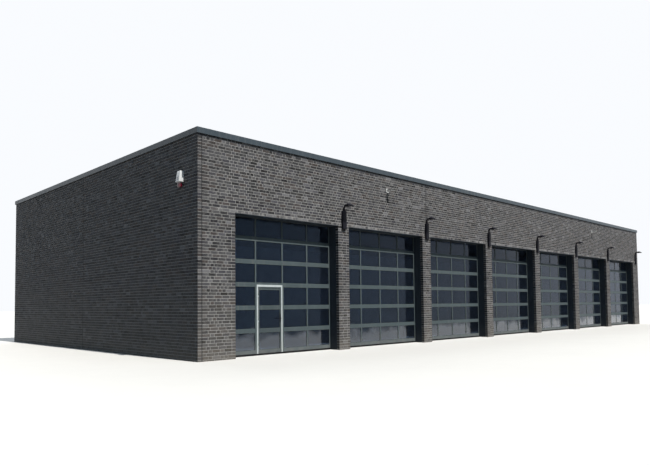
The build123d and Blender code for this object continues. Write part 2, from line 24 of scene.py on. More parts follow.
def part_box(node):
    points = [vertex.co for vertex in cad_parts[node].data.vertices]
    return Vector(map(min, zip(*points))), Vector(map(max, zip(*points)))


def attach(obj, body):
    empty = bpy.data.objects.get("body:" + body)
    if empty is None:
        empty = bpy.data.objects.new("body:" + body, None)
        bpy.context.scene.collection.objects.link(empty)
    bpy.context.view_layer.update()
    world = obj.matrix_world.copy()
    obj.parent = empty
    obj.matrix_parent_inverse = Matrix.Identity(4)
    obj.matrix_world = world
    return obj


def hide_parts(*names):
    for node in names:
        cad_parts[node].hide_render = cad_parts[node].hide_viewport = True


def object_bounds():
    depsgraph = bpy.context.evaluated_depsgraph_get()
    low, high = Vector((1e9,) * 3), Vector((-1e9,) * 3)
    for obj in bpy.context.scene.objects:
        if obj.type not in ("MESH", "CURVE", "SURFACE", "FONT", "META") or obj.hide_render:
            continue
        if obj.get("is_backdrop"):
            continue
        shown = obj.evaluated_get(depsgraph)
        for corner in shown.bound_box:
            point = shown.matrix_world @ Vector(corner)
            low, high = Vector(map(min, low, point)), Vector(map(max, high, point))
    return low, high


LOG = logging.getLogger("vehicle_hall")
HALL_BODY = "hall"
DOOR_BODY = "wicket_door"
BAYS = 7
NEAR_ENOUGH = 1e-4

Triple = tuple[float, float, float]
Colour = Triple
FaceTest = Callable[[Vector, Vector], bool]
Piece = bpy.types.Object
Socket = bpy.types.NodeSocket
Tree = bpy.types.NodeTree


class Box(NamedTuple):
    """The lowest and the highest corner of a thing."""

    low: Vector
    high: Vector

    @property
    def centre(self) -> Vector:
        """Return the box's middle."""
        return (self.low + self.high) / 2

    @property
    def size(self) -> Vector:
        """Return the box's length along each axis."""
        return self.high - self.low


# Modelling bench

def clear_selection() -> None:
    """Go back to object mode with nothing selected."""
    if bpy.context.mode != "OBJECT":
        bpy.ops.object.mode_set(mode="OBJECT")
    bpy.ops.object.select_all(action="DESELECT")


def take(piece: Piece) -> None:
    """Select one piece alone and make it the active one."""
    clear_selection()
    piece.select_set(True)
    bpy.context.view_layer.objects.active = piece


@contextmanager
def editing(piece: Piece, faces: FaceTest | None = None) -> Iterator[bmesh.types.BMesh]:
    """Work on a piece in edit mode.

    Args:
        piece: The piece to edit.
        faces: Says of a face's middle and normal whether it is selected; None selects every face.
    """
    take(piece)
    bpy.ops.object.mode_set(mode="EDIT")
    bpy.ops.mesh.select_mode(type="FACE")
    bpy.ops.mesh.select_all(action="SELECT" if faces is None else "DESELECT")
    mesh = bmesh.from_edit_mesh(piece.data)
    if faces is not None:
        for face in mesh.faces:
            face.select_set(faces(face.calc_center_median(), face.normal))
        bmesh.update_edit_mesh(piece.data)
    yield mesh
    bpy.ops.object.mode_set(mode="OBJECT")


def started(name: str) -> Piece:
    """Name the primitive that was just added, and put its place, turn and scale into its mesh."""
    piece = bpy.context.active_object
    piece.name = name
    take(piece)
    bpy.ops.object.transform_apply(location=True, rotation=True, scale=True)
    return piece


def new_block(name: str, low: Sequence[float], high: Sequence[float]) -> Piece:
    """Add a block between two corners, as the start of a piece.

    Args:
        name: The block's name.
        low: Its lowest corner.
        high: Its highest corner.

    Returns:
        The block.
    """
    clear_selection()
    middle = [(a + b) / 2 for a, b in zip(low, high)]
    spans = [b - a for a, b in zip(low, high)]
    bpy.ops.mesh.primitive_cube_add(size=1.0, location=middle, scale=spans)
    return started(name)


def new_round(name: str, centre: Sequence[float], radius: float, length: float, lying: bool = False,
              sides: int = 24) -> Piece:
    """Add a round bar, as the start of a piece.

    Args:
        name: The bar's name.
        centre: Its middle.
        radius: Its radius.
        length: Its length.
        lying: Whether it lies along Y; otherwise it stands along Z.
        sides: Sides of the round.

    Returns:
        The bar.
    """
    clear_selection()
    turn = (math.pi / 2 if lying else 0.0, 0.0, 0.0)
    bpy.ops.mesh.primitive_cylinder_add(vertices=sides, radius=radius, depth=length, location=centre,
                                        rotation=turn)
    return started(name)


def soften(piece: Piece, width: float, segments: int = 2, sharp: float = 40.0) -> None:
    """Round a piece's sharp edges with an applied bevel and shade it smooth.

    Args:
        piece: The piece.
        width: The rounding's width.
        segments: The rounding's steps.
        sharp: Edges that turn by more degrees than this are rounded.
    """
    bevel = piece.modifiers.new("arris", "BEVEL")
    bevel.width = width
    bevel.segments = segments
    bevel.limit_method = "ANGLE"
    bevel.angle_limit = math.radians(sharp)
    take(piece)
    bpy.ops.object.modifier_apply(modifier=bevel.name)
    shade(piece)


def shade(piece: Piece, angle: float = 35.0) -> None:
    """Shade a piece smooth, with its edges above an angle in degrees kept sharp."""
    take(piece)
    bpy.ops.object.shade_smooth_by_angle(angle=math.radians(angle))


def soft_block(name: str, low: Sequence[float], high: Sequence[float], width: float,
               segments: int = 2) -> Piece:
    """Add a block between two corners and round its edges.

    Args:
        name: The block's name.
        low: Its lowest corner.
        high: Its highest corner.
        width: The rounding's width.
        segments: The rounding's steps.

    Returns:
        The block.
    """
    block = new_block(name, low, high)
    soften(block, width, segments)
    return block


def join(name: str, pieces: Sequence[Piece]) -> Piece:
    """Join pieces into the first one and name it.

    Args:
        name: The joined piece's name.
        pieces: The pieces.

    Returns:
        The joined piece.
    """
    clear_selection()
    for piece in pieces:
        piece.select_set(True)
    bpy.context.view_layer.objects.active = pieces[0]
    bpy.ops.object.join()
    pieces[0].name = name
    return pieces[0]


def bent_bar(name: str, start: Vector, first: Vector, rise: float, bend: float, second: Vector,
             reach: float, radius: float, sides: int = 20, steps: int = 10) -> Piece:
    """Make a round bar that runs straight, turns through a right angle and runs on.

    Args:
        name: The bar's name.
        start: The middle of its foot.
        first: The direction of its first run.
        rise: The first run's length.
        bend: The radius of the turn, at the bar's middle.
        second: The direction of its second run.
        reach: The second run's length.
        radius: The bar's radius.
        sides: Sides of the round.
        steps: Steps of the turn.

    Returns:
        The bar, closed at both ends.
    """
    clear_selection()
    turn = first.to_track_quat("Z", "Y").to_euler()
    bpy.ops.mesh.primitive_circle_add(vertices=sides, radius=radius, fill_type="NGON", location=start,
                                      rotation=turn)
    bar = started(name)
    with editing(bar):
        bpy.ops.mesh.extrude_region_move(TRANSFORM_OT_translate={"value": first * rise})
        bpy.ops.mesh.spin(steps=steps, angle=math.pi / 2, center=start + first * rise + second * bend,
                          axis=second.cross(first))
        bpy.ops.mesh.extrude_region_move(TRANSFORM_OT_translate={"value": second * reach})
        bpy.ops.mesh.select_all(action="SELECT")
        bpy.ops.mesh.remove_doubles(threshold=0.0002)
        bpy.ops.mesh.normals_make_consistent(inside=False)
    shade(bar)
    return bar


# Meshes as arrays

def numbers(items: bpy.types.bpy_prop_collection, name: str, width: int = 1,
            kind: type = np.int64) -> np.ndarray:
    """Read one property of all of a mesh's vertices, loops or faces.

    Args:
        items: The vertices, loops or faces.
        name: The property.
        width: How many numbers each has.
        kind: What kind of number they are.

    Returns:
        The numbers, one after another.
    """
    values = np.empty(len(items) * width, kind)
    items.foreach_get(name, values)
    return values


def places_in(mesh: bpy.types.Mesh) -> np.ndarray:
    """Return the places of a mesh's vertices, one to a row."""
    return numbers(mesh.vertices, "co", 3, np.float64).reshape(-1, 3)


@dataclass
class Pattern:
    """A small modelled piece kept as arrays, to be laid many times into one mesh."""

    places: np.ndarray
    corners: np.ndarray
    face_starts: np.ndarray
    face_sizes: np.ndarray

    @classmethod
    def from_piece(cls, piece: Piece) -> Pattern:
        """Read a modelled piece and remove it.

        Args:
            piece: The piece, at rest in the pattern's own frame.

        Returns:
            The pattern.
        """
        mesh = piece.data
        pattern = cls(places_in(mesh), numbers(mesh.loops, "vertex_index"),
                      numbers(mesh.polygons, "loop_start"), numbers(mesh.polygons, "loop_total"))
        bpy.data.objects.remove(piece)
        bpy.data.meshes.remove(mesh)
        return pattern

    def stretched(self, spans: np.ndarray) -> np.ndarray:
        """Stretch the pattern for each copy, its ends moved out to the copy's own spans.

        Args:
            spans: One row of three spans for each copy. What lies on the pattern's outside keeps its
                distance from the end, so arrises and rims keep their width.

        Returns:
            An array of copies by places by three.
        """
        half = np.ptp(self.places, axis=0) / 2
        middle = (self.places.max(0) + self.places.min(0)) / 2
        local = self.places - middle
        shift = spans[:, None, :] / 2 - half
        return local[None] + np.sign(local.round(7))[None] * shift

    def laid(self, name: str, places: np.ndarray, tones: np.ndarray | None = None) -> Piece:
        """Lay copies of the pattern into one new piece.

        Args:
            name: The piece's name.
            places: Copies by places by three, as stretched gives them and moved to where they lie.
            tones: Four values for each copy, kept as the attribute "tone".

        Returns:
            The piece.
        """
        count, per = places.shape[:2]
        copies = np.arange(count)[:, None]
        mesh = bpy.data.meshes.new(name)
        mesh.vertices.add(count * per)
        mesh.vertices.foreach_set("co", places.reshape(-1).astype(np.float32))
        corners = (self.corners[None] + per * copies).ravel()
        starts = (self.face_starts[None] + len(self.corners) * copies).ravel()
        mesh.loops.add(len(corners))
        mesh.loops.foreach_set("vertex_index", corners.astype(np.int32))
        mesh.polygons.add(len(starts))
        mesh.polygons.foreach_set("loop_start", starts.astype(np.int32))
        mesh.polygons.foreach_set("loop_total", np.tile(self.face_sizes, count).astype(np.int32))
        mesh.polygons.foreach_set("use_smooth", np.zeros(len(starts), bool))
        mesh.update(calc_edges=True)
        if tones is not None:
            layer = mesh.attributes.new("tone", "FLOAT_COLOR", "POINT")
            layer.data.foreach_set("color", np.repeat(tones, per, axis=0).astype(np.float32).ravel())
        piece = bpy.data.objects.new(name, mesh)
        bpy.context.scene.collection.objects.link(piece)
        return piece

    def laid_at(self, name: str, spans: Sequence[Triple], centres: Sequence[Triple]) -> Piece:
        """Lay one copy of the pattern with its own spans at each centre."""
        return self.laid(name, self.stretched(np.array(spans)) + np.array(centres)[:, None, :])


def places_of(node: str) -> np.ndarray:
    """Return the places of a CAD node's vertices, one to a row."""
    return places_in(FRAME["nodes"][node].data)


def levels_of(node: str, axis: int) -> list[float]:
    """Return the levels along one axis at which a CAD node has vertices, from low to high."""
    return np.unique(np.round(places_of(node)[:, axis], 4)).tolist()


def solids_of(node: str) -> list[Box]:
    """Find the separate solids of a CAD node.

    Args:
        node: The node's name.

    Returns:
        The box of each solid, from left to right and then upward.
    """
    places = places_of(node)
    merged = np.unique(np.round(places, 4), axis=0, return_inverse=True)[1].ravel()
    owner = list(range(int(merged.max()) + 1))

    def root(index: int) -> int:
        """Return the first place of the solid that holds this one."""
        while owner[index] != index:
            owner[index] = owner[owner[index]]
            index = owner[index]
        return index

    for polygon in FRAME["nodes"][node].data.polygons:
        first, *others = [int(merged[vertex]) for vertex in polygon.vertices]
        for other in others:
            owner[root(other)] = root(first)
    roots = np.array([root(int(index)) for index in merged])
    boxes = [Box(Vector(places[roots == one].min(0)), Vector(places[roots == one].max(0)))
             for one in np.unique(roots)]
    return sorted(boxes, key=lambda box: (round(box.low.x, 3), round(box.low.z, 3)))


def piers_of_front() -> list[Box]:
    """Return the boxes of the front's piers, from left to right."""
    return [Box(*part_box("front_end_pier_left")), *solids_of("front_piers"),
            Box(*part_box("front_end_pier_right"))]


# Node trees

class Sheet:
    """A node tree that is being filled, with short calls to add nodes and link them."""

    def __init__(self, tree: Tree) -> None:
        """Start on a tree."""
        self.tree = tree

    def feed(self, socket: Socket, given: object) -> None:
        """Feed a socket.

        Args:
            socket: The input to feed.
            given: An output to link to it, or else its value. A colour may leave out its alpha of 1.
        """
        if isinstance(given, bpy.types.NodeSocket):
            self.tree.links.new(given, socket)
        else:
            socket.default_value = (*given, 1.0) if socket.type == "RGBA" else given

    def node(self, kind: str, inputs: dict | None = None, **settings: object) -> bpy.types.Node:
        """Add a node.

        Args:
            kind: The node's type.
            inputs: Values or output sockets by input name or number.
            settings: Properties of the node.

        Returns:
            The node.
        """
        made = self.tree.nodes.new(kind)
        for name, setting in settings.items():
            setattr(made, name, setting)
        for key, given in (inputs or {}).items():
            self.feed(made.inputs[key], given)
        return made

    def math(self, operation: str, first: object, second: object = 0.0) -> Socket:
        """Return the result of a maths node."""
        return self.node("ShaderNodeMath", {0: first, 1: second}, operation=operation).outputs[0]

    def mix(self, factor: object, first: object, second: object) -> Socket:
        """Return a mix of two colours."""
        return self.node("ShaderNodeMix", {0: factor, 6: first, 7: second}, data_type="RGBA").outputs[2]

    def span(self, value: object, low: float, high: float, start: float = 0.0, end: float = 1.0) -> Socket:
        """Return a value mapped from start and end to low and high, and held between them."""
        made = self.node("ShaderNodeMapRange", {0: value, 1: start, 2: end, 3: low, 4: high}, clamp=True)
        return made.outputs[0]

    def noise(self, place: object, scale: object, detail: float, roughness: float = 0.55) -> Socket:
        """Return a noise value at a place."""
        made = self.node("ShaderNodeTexNoise", {"Vector": place, "Scale": scale, "Detail": detail,
                                                "Roughness": roughness})
        return made.outputs["Fac"]

    def ramp(self, factor: object, stops: Sequence[tuple[float, Colour]]) -> Socket:
        """Read a colour from a ramp.

        Args:
            factor: Where on the ramp it is read.
            stops: Position and colour of each stop.

        Returns:
            The colour.
        """
        made = self.node("ShaderNodeValToRGB", {0: factor})
        elements = made.color_ramp.elements
        while len(elements) < len(stops):
            elements.new(0.5)
        for element, (position, colour) in zip(elements, stops):
            element.position = position
            element.color = (*colour, 1.0)
        return made.outputs[0]

    def placed(self, place: object, scale: Sequence[float]) -> Socket:
        """Return a place stretched along each axis."""
        return self.node("ShaderNodeMapping", {"Vector": place, "Scale": scale}).outputs[0]

    def relief(self, height: Socket, strength: float, distance: float) -> Socket:
        """Return a normal bumped by a height."""
        made = self.node("ShaderNodeBump", {"Height": height, "Strength": strength, "Distance": distance})
        return made.outputs["Normal"]

    def seen_rays(self) -> Socket:
        """Return 1 for the rays that show a background: from the camera, in gloss and through glass."""
        path = self.node("ShaderNodeLightPath").outputs
        first = self.math("MAXIMUM", path["Is Camera Ray"], path["Is Glossy Ray"])
        return self.math("MAXIMUM", first, path["Is Transmission Ray"])


class Effects:
    """The node groups that more than one finish shares. Each reads a place and one amount."""

    def __init__(self) -> None:
        """Build each group once."""
        self.mottle = self.build_mottle()
        self.streaks = self.build_streaks()
        self.splash = self.build_splash()
        self.grain = self.build_grain()

    @staticmethod
    def start(name: str, amount: str, output: str) -> tuple[Sheet, Socket, Socket, Socket]:
        """Begin a group.

        Args:
            name: The group's name.
            amount: The name of its amount.
            output: The name of its output.

        Returns:
            The group's sheet, its place, its amount, and the socket that its result feeds.
        """
        tree = bpy.data.node_groups.new(name, "ShaderNodeTree")
        for socket, way, kind in (("Place", "INPUT", "NodeSocketVector"),
                                  (amount, "INPUT", "NodeSocketFloat"),
                                  (output, "OUTPUT", "NodeSocketFloat")):
            tree.interface.new_socket(socket, in_out=way, socket_type=kind)
        sheet = Sheet(tree)
        given = sheet.node("NodeGroupInput")
        result = sheet.node("NodeGroupOutput")
        return sheet, given.outputs["Place"], given.outputs[amount], result.inputs[output]

    def build_mottle(self) -> Tree:
        """Build soft blotches of two sizes, about 0.5 on average.

        Returns:
            The group.
        """
        sheet, place, scale, result = self.start("mottle", "Scale", "Value")
        broad = sheet.noise(place, scale, 2.0)
        fine = sheet.noise(place, sheet.math("MULTIPLY", scale, 6.0), 4.0, 0.65)
        both = sheet.math("ADD", sheet.math("MULTIPLY", broad, 0.6), sheet.math("MULTIPLY", fine, 0.4))
        sheet.feed(result, both)
        return sheet.tree

    def build_streaks(self) -> Tree:
        """Build a mask of thin upright streaks that rain leaves on a face.

        Returns:
            The group.
        """
        sheet, place, amount, result = self.start("rain_streaks", "Amount", "Mask")
        lines = sheet.noise(sheet.placed(place, (14.0, 14.0, 0.6)), 1.0, 4.0, 0.6)
        patches = sheet.noise(place, 0.5, 2.0)
        mask = sheet.math("MULTIPLY", sheet.span(lines, 0.0, 1.0, 0.5, 0.75),
                          sheet.span(patches, 0.2, 1.0, 0.35, 0.65))
        sheet.feed(result, sheet.math("MULTIPLY", mask, amount))
        return sheet.tree

    def build_splash(self) -> Tree:
        """Build a mask of the dust that rain splashes up from the ground.

        Returns:
            The group.
        """
        sheet, place, top, result = self.start("ground_splash", "Height", "Mask")
        height = sheet.node("ShaderNodeSeparateXYZ", {0: place}).outputs["Z"]
        share = sheet.math("SUBTRACT", 1.0, sheet.math("DIVIDE", height, top))
        ragged = sheet.span(sheet.noise(place, 5.0, 5.0, 0.7), 0.35, 1.3, *SWING)
        sheet.feed(result, sheet.math("MULTIPLY", sheet.span(share, 0.0, 1.0), ragged))
        return sheet.tree

    def build_grain(self) -> Tree:
        """Build a fine even grain as a height.

        Returns:
            The group.
        """
        sheet, place, scale, result = self.start("grain", "Scale", "Height")
        sheet.feed(result, sheet.noise(place, scale, 2.0, 0.5))
        return sheet.tree


class Surface(Sheet):
    """A material's node tree, with the place on the piece and the shared effects at hand."""

    def __init__(self, tree: Tree, effects: Effects) -> None:
        """Start on a material's tree."""
        super().__init__(tree)
        self.effects = effects
        self.place = self.node("ShaderNodeTexCoord").outputs["Object"]

    def effect(self, tree: Tree, amount: str, value: float) -> Socket:
        """Return a shared effect at this surface's place, with its amount set."""
        return self.node("ShaderNodeGroup", {"Place": self.place, amount: value}, node_tree=tree).outputs[0]

    def mottle(self, scale: float) -> Socket:
        """Return soft blotches."""
        return self.effect(self.effects.mottle, "Scale", scale)

    def grain(self, scale: float) -> Socket:
        """Return a fine even grain."""
        return self.effect(self.effects.grain, "Scale", scale)

    def streaks(self, amount: float) -> Socket:
        """Return a mask of rain streaks."""
        return self.effect(self.effects.streaks, "Amount", amount)

    def splash(self, height: float) -> Socket:
        """Return a mask of ground splash up to a height."""
        return self.effect(self.effects.splash, "Height", height)

    def height(self) -> Socket:
        """Return the height above the ground."""
        return self.node("ShaderNodeSeparateXYZ", {0: self.place}).outputs["Z"]


# Finishes

Feeds = dict[str, object]

# Noise and blotches mostly lie between these two values
SWING = (0.3, 0.7)

# Where on the blotches a darker, the plain and a lighter colour lie
EVEN_STOPS = (0.3, 0.5, 0.7)
LATE_STOPS = (0.3, 0.6, 0.75)


@dataclass(frozen=True)
class Finish:
    """A surface finish. Each kind says in dress what feeds the shader."""

    name: str
    colour: Colour
    shine: float = 0.5

    def build(self, effects: Effects) -> bpy.types.Material:
        """Make the finish.

        Args:
            effects: The shared node groups.

        Returns:
            The finish as a material.
        """
        material = bpy.data.materials.new(self.name)
        material.use_nodes = True
        material.diffuse_color = (*self.colour, 1.0)
        material.node_tree.nodes.clear()
        on = Surface(material.node_tree, effects)
        shader = on.node("ShaderNodeBsdfPrincipled",
                         {"Base Color": self.colour, "Specular IOR Level": self.shine})
        on.node("ShaderNodeOutputMaterial", {"Surface": shader.outputs[0]}, is_active_output=True)
        for socket, given in self.dress(on).items():
            on.feed(shader.inputs[socket], given)
        return material

    def dress(self, on: Surface) -> Feeds:
        """Make the finish's own nodes.

        Args:
            on: The surface that is dressed.

        Returns:
            What feeds the shader, by the socket's name.
        """
        raise NotImplementedError

    def tinted(self, factor: float) -> Colour:
        """Return the finish's colour made darker or lighter."""
        return tuple(min(1.0, part * factor) for part in self.colour)

    def blotched(self, on: Surface, blotch: Socket, darker: float, lighter: float,
                 stops: Triple = EVEN_STOPS) -> Socket:
        """Vary the finish's colour with the blotches.

        Args:
            on: The surface that is dressed.
            blotch: The blotches.
            darker: The colour's factor where the blotches are low.
            lighter: The colour's factor where they are high.
            stops: Where the darker, the plain and the lighter colour lie.

        Returns:
            The colour.
        """
        return on.ramp(blotch, list(zip(stops, (self.tinted(darker), self.colour, self.tinted(lighter)))))


@dataclass(frozen=True)
class Clinker(Finish):
    """Hard-fired brick: each brick has its own tone, with fire marks, pits and a slight glaze."""

    shine: float = 0.05
    brown: Colour = (0.098, 0.078, 0.070)
    violet: Colour = (0.072, 0.070, 0.084)
    ash: Colour = (0.20, 0.195, 0.185)
    salt: Colour = (0.40, 0.39, 0.37)
    # The ground splash colour, which the painted bounce light on the lower wall also lightens toward
    splash: Colour = (0.225, 0.205, 0.175)
    splash_height: float = 0.5
    splash_share: float = 0.45
    # Height and share of the painted bounce light: a warm lightening of the lower wall that stands for light
    # thrown up from the ground
    painted_bounce_height: float = 2.3
    painted_bounce_share: float = 0.36
    mark_scale: float = 9.0
    speck_scale: float = 170.0
    pit_scale: float = 210.0
    drag_scale: float = 45.0
    glaze_share: float = 0.18
    relief_strength: float = 0.55
    relief_depth: float = 0.0018

    def dress(self, on: Surface) -> Feeds:
        """Mix the brick's tone, its fire marks, a painted warm bounce light that lightens the lower wall, and
        the ground splash, and pit its face.

        Args:
            on: The surface that is dressed.

        Returns:
            What feeds the shader, by the socket's name.
        """
        tone = on.node("ShaderNodeAttribute", attribute_name="tone")
        light, hue, glaze = on.node("ShaderNodeSeparateColor", {0: tone.outputs["Color"]}).outputs
        body = on.ramp(light, [(0.0, self.tinted(0.4)), (0.45, self.colour), (0.8, self.tinted(1.7)),
                               (1.0, self.tinted(2.9))])
        warm = on.mix(on.span(hue, 0.0, 0.6, 0.7, 1.0), body, self.brown)
        cool = on.mix(on.span(hue, 0.6, 0.0, 0.0, 0.3), warm, self.violet)
        marks = on.mottle(self.mark_scale)
        fired = on.mix(on.span(marks, 0.0, 0.65, 0.5, 0.72), cool, self.ash)
        blooms = on.math("MULTIPLY", tone.outputs["Alpha"], on.span(marks, 0.0, 1.0, 0.42, 0.58))
        salted = on.mix(blooms, fired, self.salt)
        specks = on.noise(on.place, self.speck_scale, 2.0)
        spotted = on.mix(on.span(specks, 0.0, 0.55, 0.6, 0.72), salted, self.tinted(0.3))
        # Painted bounce light: the lower wall is lightened toward the warm splash colour, fading out upward
        painted_bounce = on.math("MULTIPLY", on.splash(self.painted_bounce_height), self.painted_bounce_share)
        splash = on.math("MULTIPLY", on.splash(self.splash_height), self.splash_share)
        bounce_lit = on.mix(painted_bounce, spotted, self.splash)
        drag = on.noise(on.placed(on.place, (1.0, 1.0, 3.0)), self.drag_scale, 3.0)
        height = on.math("ADD", on.grain(self.pit_scale), drag)
        return {
            "Base Color": on.mix(splash, bounce_lit, self.splash),
            "Roughness": on.math("ADD", on.span(marks, 0.42, 0.62, *SWING),
                                 on.math("MULTIPLY", glaze, self.glaze_share)),
            "Normal": on.relief(height, self.relief_strength, self.relief_depth),
        }


@dataclass(frozen=True)
class Mineral(Finish):
    """Mortar or concrete: a sandy grain with soft blotches, dusted near the ground."""

    shine: float = 0.05
    grain_scale: float = 420.0
    blotch_scale: float = 1.3
    relief_depth: float = 0.0012
    splash: Colour = (0.30, 0.28, 0.24)
    splash_height: float = 0.4
    splash_share: float = 0.35

    def dress(self, on: Surface) -> Feeds:
        """Blotch the colour, grain the face and dust it near the ground.

        Args:
            on: The surface that is dressed.

        Returns:
            What feeds the shader, by the socket's name.
        """
        blotch = on.mottle(self.blotch_scale)
        grain = on.grain(self.grain_scale)
        base = self.blotched(on, blotch, 0.8, 1.15)
        sandy = on.mix(on.span(grain, 0.0, 0.35, 0.5, 0.7), base, self.tinted(0.6))
        splash = on.math("MULTIPLY", on.splash(self.splash_height), self.splash_share)
        return {
            "Base Color": on.mix(splash, sandy, self.splash),
            "Roughness": on.span(blotch, 0.78, 0.94, *SWING),
            "Normal": on.relief(grain, 0.6, self.relief_depth),
        }


@dataclass(frozen=True)
class Coated(Finish):
    """Powder-coated or enamelled sheet: a fine orange peel, with dust in streaks and low down."""

    shine: float = 0.3
    gloss: float = 0.4
    blotch_scale: float = 2.2
    peel_scale: float = 700.0
    peel: float = 0.12
    dust: Colour = (0.34, 0.33, 0.30)
    dust_share: float = 0.22
    dust_height: float = 0.5

    def dress(self, on: Surface) -> Feeds:
        """Vary the coat a little, lay dust over it and peel its face.

        Args:
            on: The surface that is dressed.

        Returns:
            What feeds the shader, by the socket's name.
        """
        blotch = on.mottle(self.blotch_scale)
        low_down = on.math("MULTIPLY", on.splash(self.dust_height), self.dust_share * 1.6)
        dusty = on.math("MAXIMUM", on.streaks(self.dust_share), low_down)
        return {
            "Base Color": on.mix(dusty, self.blotched(on, blotch, 0.9, 1.1), self.dust),
            "Roughness": on.math("ADD", on.span(blotch, self.gloss - 0.05, self.gloss + 0.07, *SWING),
                                 on.math("MULTIPLY", dusty, 0.8)),
            "Normal": on.relief(on.grain(self.peel_scale), self.peel, 0.0006),
        }


@dataclass(frozen=True)
class BareMetal(Finish):
    """Anodised, mill or galvanised metal, drawn along one axis or spangled."""

    gloss: float = 0.32
    drawn: Triple = (500.0, 500.0, 12.0)
    patch_scale: float = 7.0
    spangle: float = 0.0
    spangle_scale: float = 45.0

    def dress(self, on: Surface) -> Feeds:
        """Draw fine lines along the metal, spangle it where it is galvanised, and dull it in patches.

        Args:
            on: The surface that is dressed.

        Returns:
            What feeds the shader, by the socket's name.
        """
        lines = on.noise(on.placed(on.place, self.drawn), 1.0, 2.0)
        patches = on.mottle(self.patch_scale)
        base = self.blotched(on, patches, 0.86, 1.08, LATE_STOPS)
        if self.spangle:
            flakes = on.node("ShaderNodeTexVoronoi", {"Vector": on.place, "Scale": self.spangle_scale})
            value = on.node("ShaderNodeSeparateColor", {0: flakes.outputs["Color"]}).outputs[0]
            base = on.mix(on.math("MULTIPLY", value, self.spangle), base, self.tinted(0.62))
        return {
            "Metallic": 1.0,
            "Base Color": base,
            "Roughness": on.math("ADD", on.span(lines, self.gloss - 0.06, self.gloss + 0.08, *SWING),
                                 on.span(patches, 0.0, 0.12, 0.5, 0.7)),
            "Normal": on.relief(lines, 0.08, 0.0004),
        }


@dataclass(frozen=True)
class Membrane(Finish):
    """Roofing sheet: chalky, with the rings that puddles leave and dust blown into patches."""

    shine: float = 0.25
    ring: Colour = (0.22, 0.215, 0.20)
    ring_width: float = 0.035
    pond_scale: float = 0.28
    pond_level: float = 0.56
    blotch_scale: float = 1.1
    grain_scale: float = 260.0

    def dress(self, on: Surface) -> Feeds:
        """Lay puddle rings and dust over the sheet and grain it.

        Args:
            on: The surface that is dressed.

        Returns:
            What feeds the shader, by the socket's name.
        """
        ponds = on.noise(on.place, self.pond_scale, 4.0, 0.6)
        from_shore = on.math("ABSOLUTE", on.math("SUBTRACT", ponds, self.pond_level))
        ring = on.math("SUBTRACT", 1.0, on.span(from_shore, 0.0, 1.0, 0.0, self.ring_width))
        blotch = on.mottle(self.blotch_scale)
        base = self.blotched(on, blotch, 0.86, 1.12)
        pond = on.mix(on.span(ponds, 0.0, 0.35, self.pond_level, 0.62), base, self.tinted(0.78))
        return {
            "Base Color": on.mix(on.math("MULTIPLY", ring, 0.5), pond, self.ring),
            "Roughness": on.span(blotch, 0.55, 0.78, *SWING),
            "Normal": on.relief(on.grain(self.grain_scale), 0.3, 0.001),
        }


@dataclass(frozen=True)
class Pane(Finish):
    """Double glazing seen against an unlit hall: tinted, faintly wavy, and given a stronger painted
    reflection low down by a glossy coat.
    """

    bend: float = 1.24
    clearness: float = 0.983
    gleam: Colour = (0.42, 0.66, 1.0)
    daylight: float = 0.8
    streak_share: float = 0.02
    splash_height: float = 0.7
    splash_share: float = 0.04
    # Painted reflection: a glossy coat, full on the panes below its foot and gone above its top, with a
    # ragged edge
    painted_reflection_ior: float = 1.75
    painted_reflection_foot: float = 0.40
    painted_reflection_top: float = 0.72
    painted_reflection_ragged: float = 0.22
    wave_scale: float = 1.4
    wave_depth: float = 0.008

    def dress(self, on: Surface) -> Feeds:
        """Make clear tinted glass with a slow wave in its face, which lets the sun fall into the hall.

        Args:
            on: The surface that is dressed.

        Returns:
            What feeds the shader, by the socket's name.
        """
        dust = on.math("MULTIPLY", on.splash(self.splash_height), self.splash_share)
        # The ragged height up to which the painted reflection coat reaches
        edge = on.span(on.noise(on.place, 1.6, 3.0), -self.painted_reflection_ragged, self.painted_reflection_ragged, *SWING)
        ragged = on.math("ADD", on.height(), edge)
        shadow = on.node("ShaderNodeLightPath").outputs["Is Shadow Ray"]
        wave = on.noise(on.placed(on.place, (1.0, 1.0, 0.7)), self.wave_scale, 0.0)
        return {
            "IOR": self.bend,
            "Specular Tint": self.gleam,
            "Transmission Weight": self.clearness,
            "Roughness": on.math("ADD", on.streaks(self.streak_share), dust),
            "Coat IOR": self.painted_reflection_ior,
            "Coat Weight": on.span(ragged, 1.0, 0.0, self.painted_reflection_foot, self.painted_reflection_top),
            "Alpha": on.math("SUBTRACT", 1.0, on.math("MULTIPLY", shadow, self.daylight)),
            "Normal": on.relief(wave, 0.12, self.wave_depth),
        }


@dataclass(frozen=True)
class Moulded(Finish):
    """Moulded plastic or rubber, with a satin grain and a little yellowing or bloom."""

    gloss: float = 0.3
    blotch_scale: float = 12.0
    grain_scale: float = 900.0
    bloom: Colour = (0.62, 0.60, 0.52)
    bloom_share: float = 0.12
    coat: float = 0.0
    coat_gloss: float = 0.08
    ribs: float = 0.0

    def dress(self, on: Surface) -> Feeds:
        """Vary the plastic's colour, bloom it in streaks and grain or rib its face.

        Args:
            on: The surface that is dressed.

        Returns:
            What feeds the shader, by the socket's name.
        """
        blotch = on.mottle(self.blotch_scale)
        base = self.blotched(on, blotch, 0.9, 1.08, LATE_STOPS)
        if self.ribs:
            rings = on.node("ShaderNodeTexWave", {"Vector": on.place, "Scale": self.ribs},
                            bands_direction="Z")
            height = rings.outputs["Fac"]
        else:
            height = on.grain(self.grain_scale)
        return {
            "Coat Weight": self.coat,
            "Coat Roughness": self.coat_gloss,
            "Base Color": on.mix(on.streaks(self.bloom_share), base, self.bloom),
            "Roughness": on.span(blotch, self.gloss - 0.05, self.gloss + 0.1, *SWING),
            "Normal": on.relief(height, 0.2, 0.0008),
        }


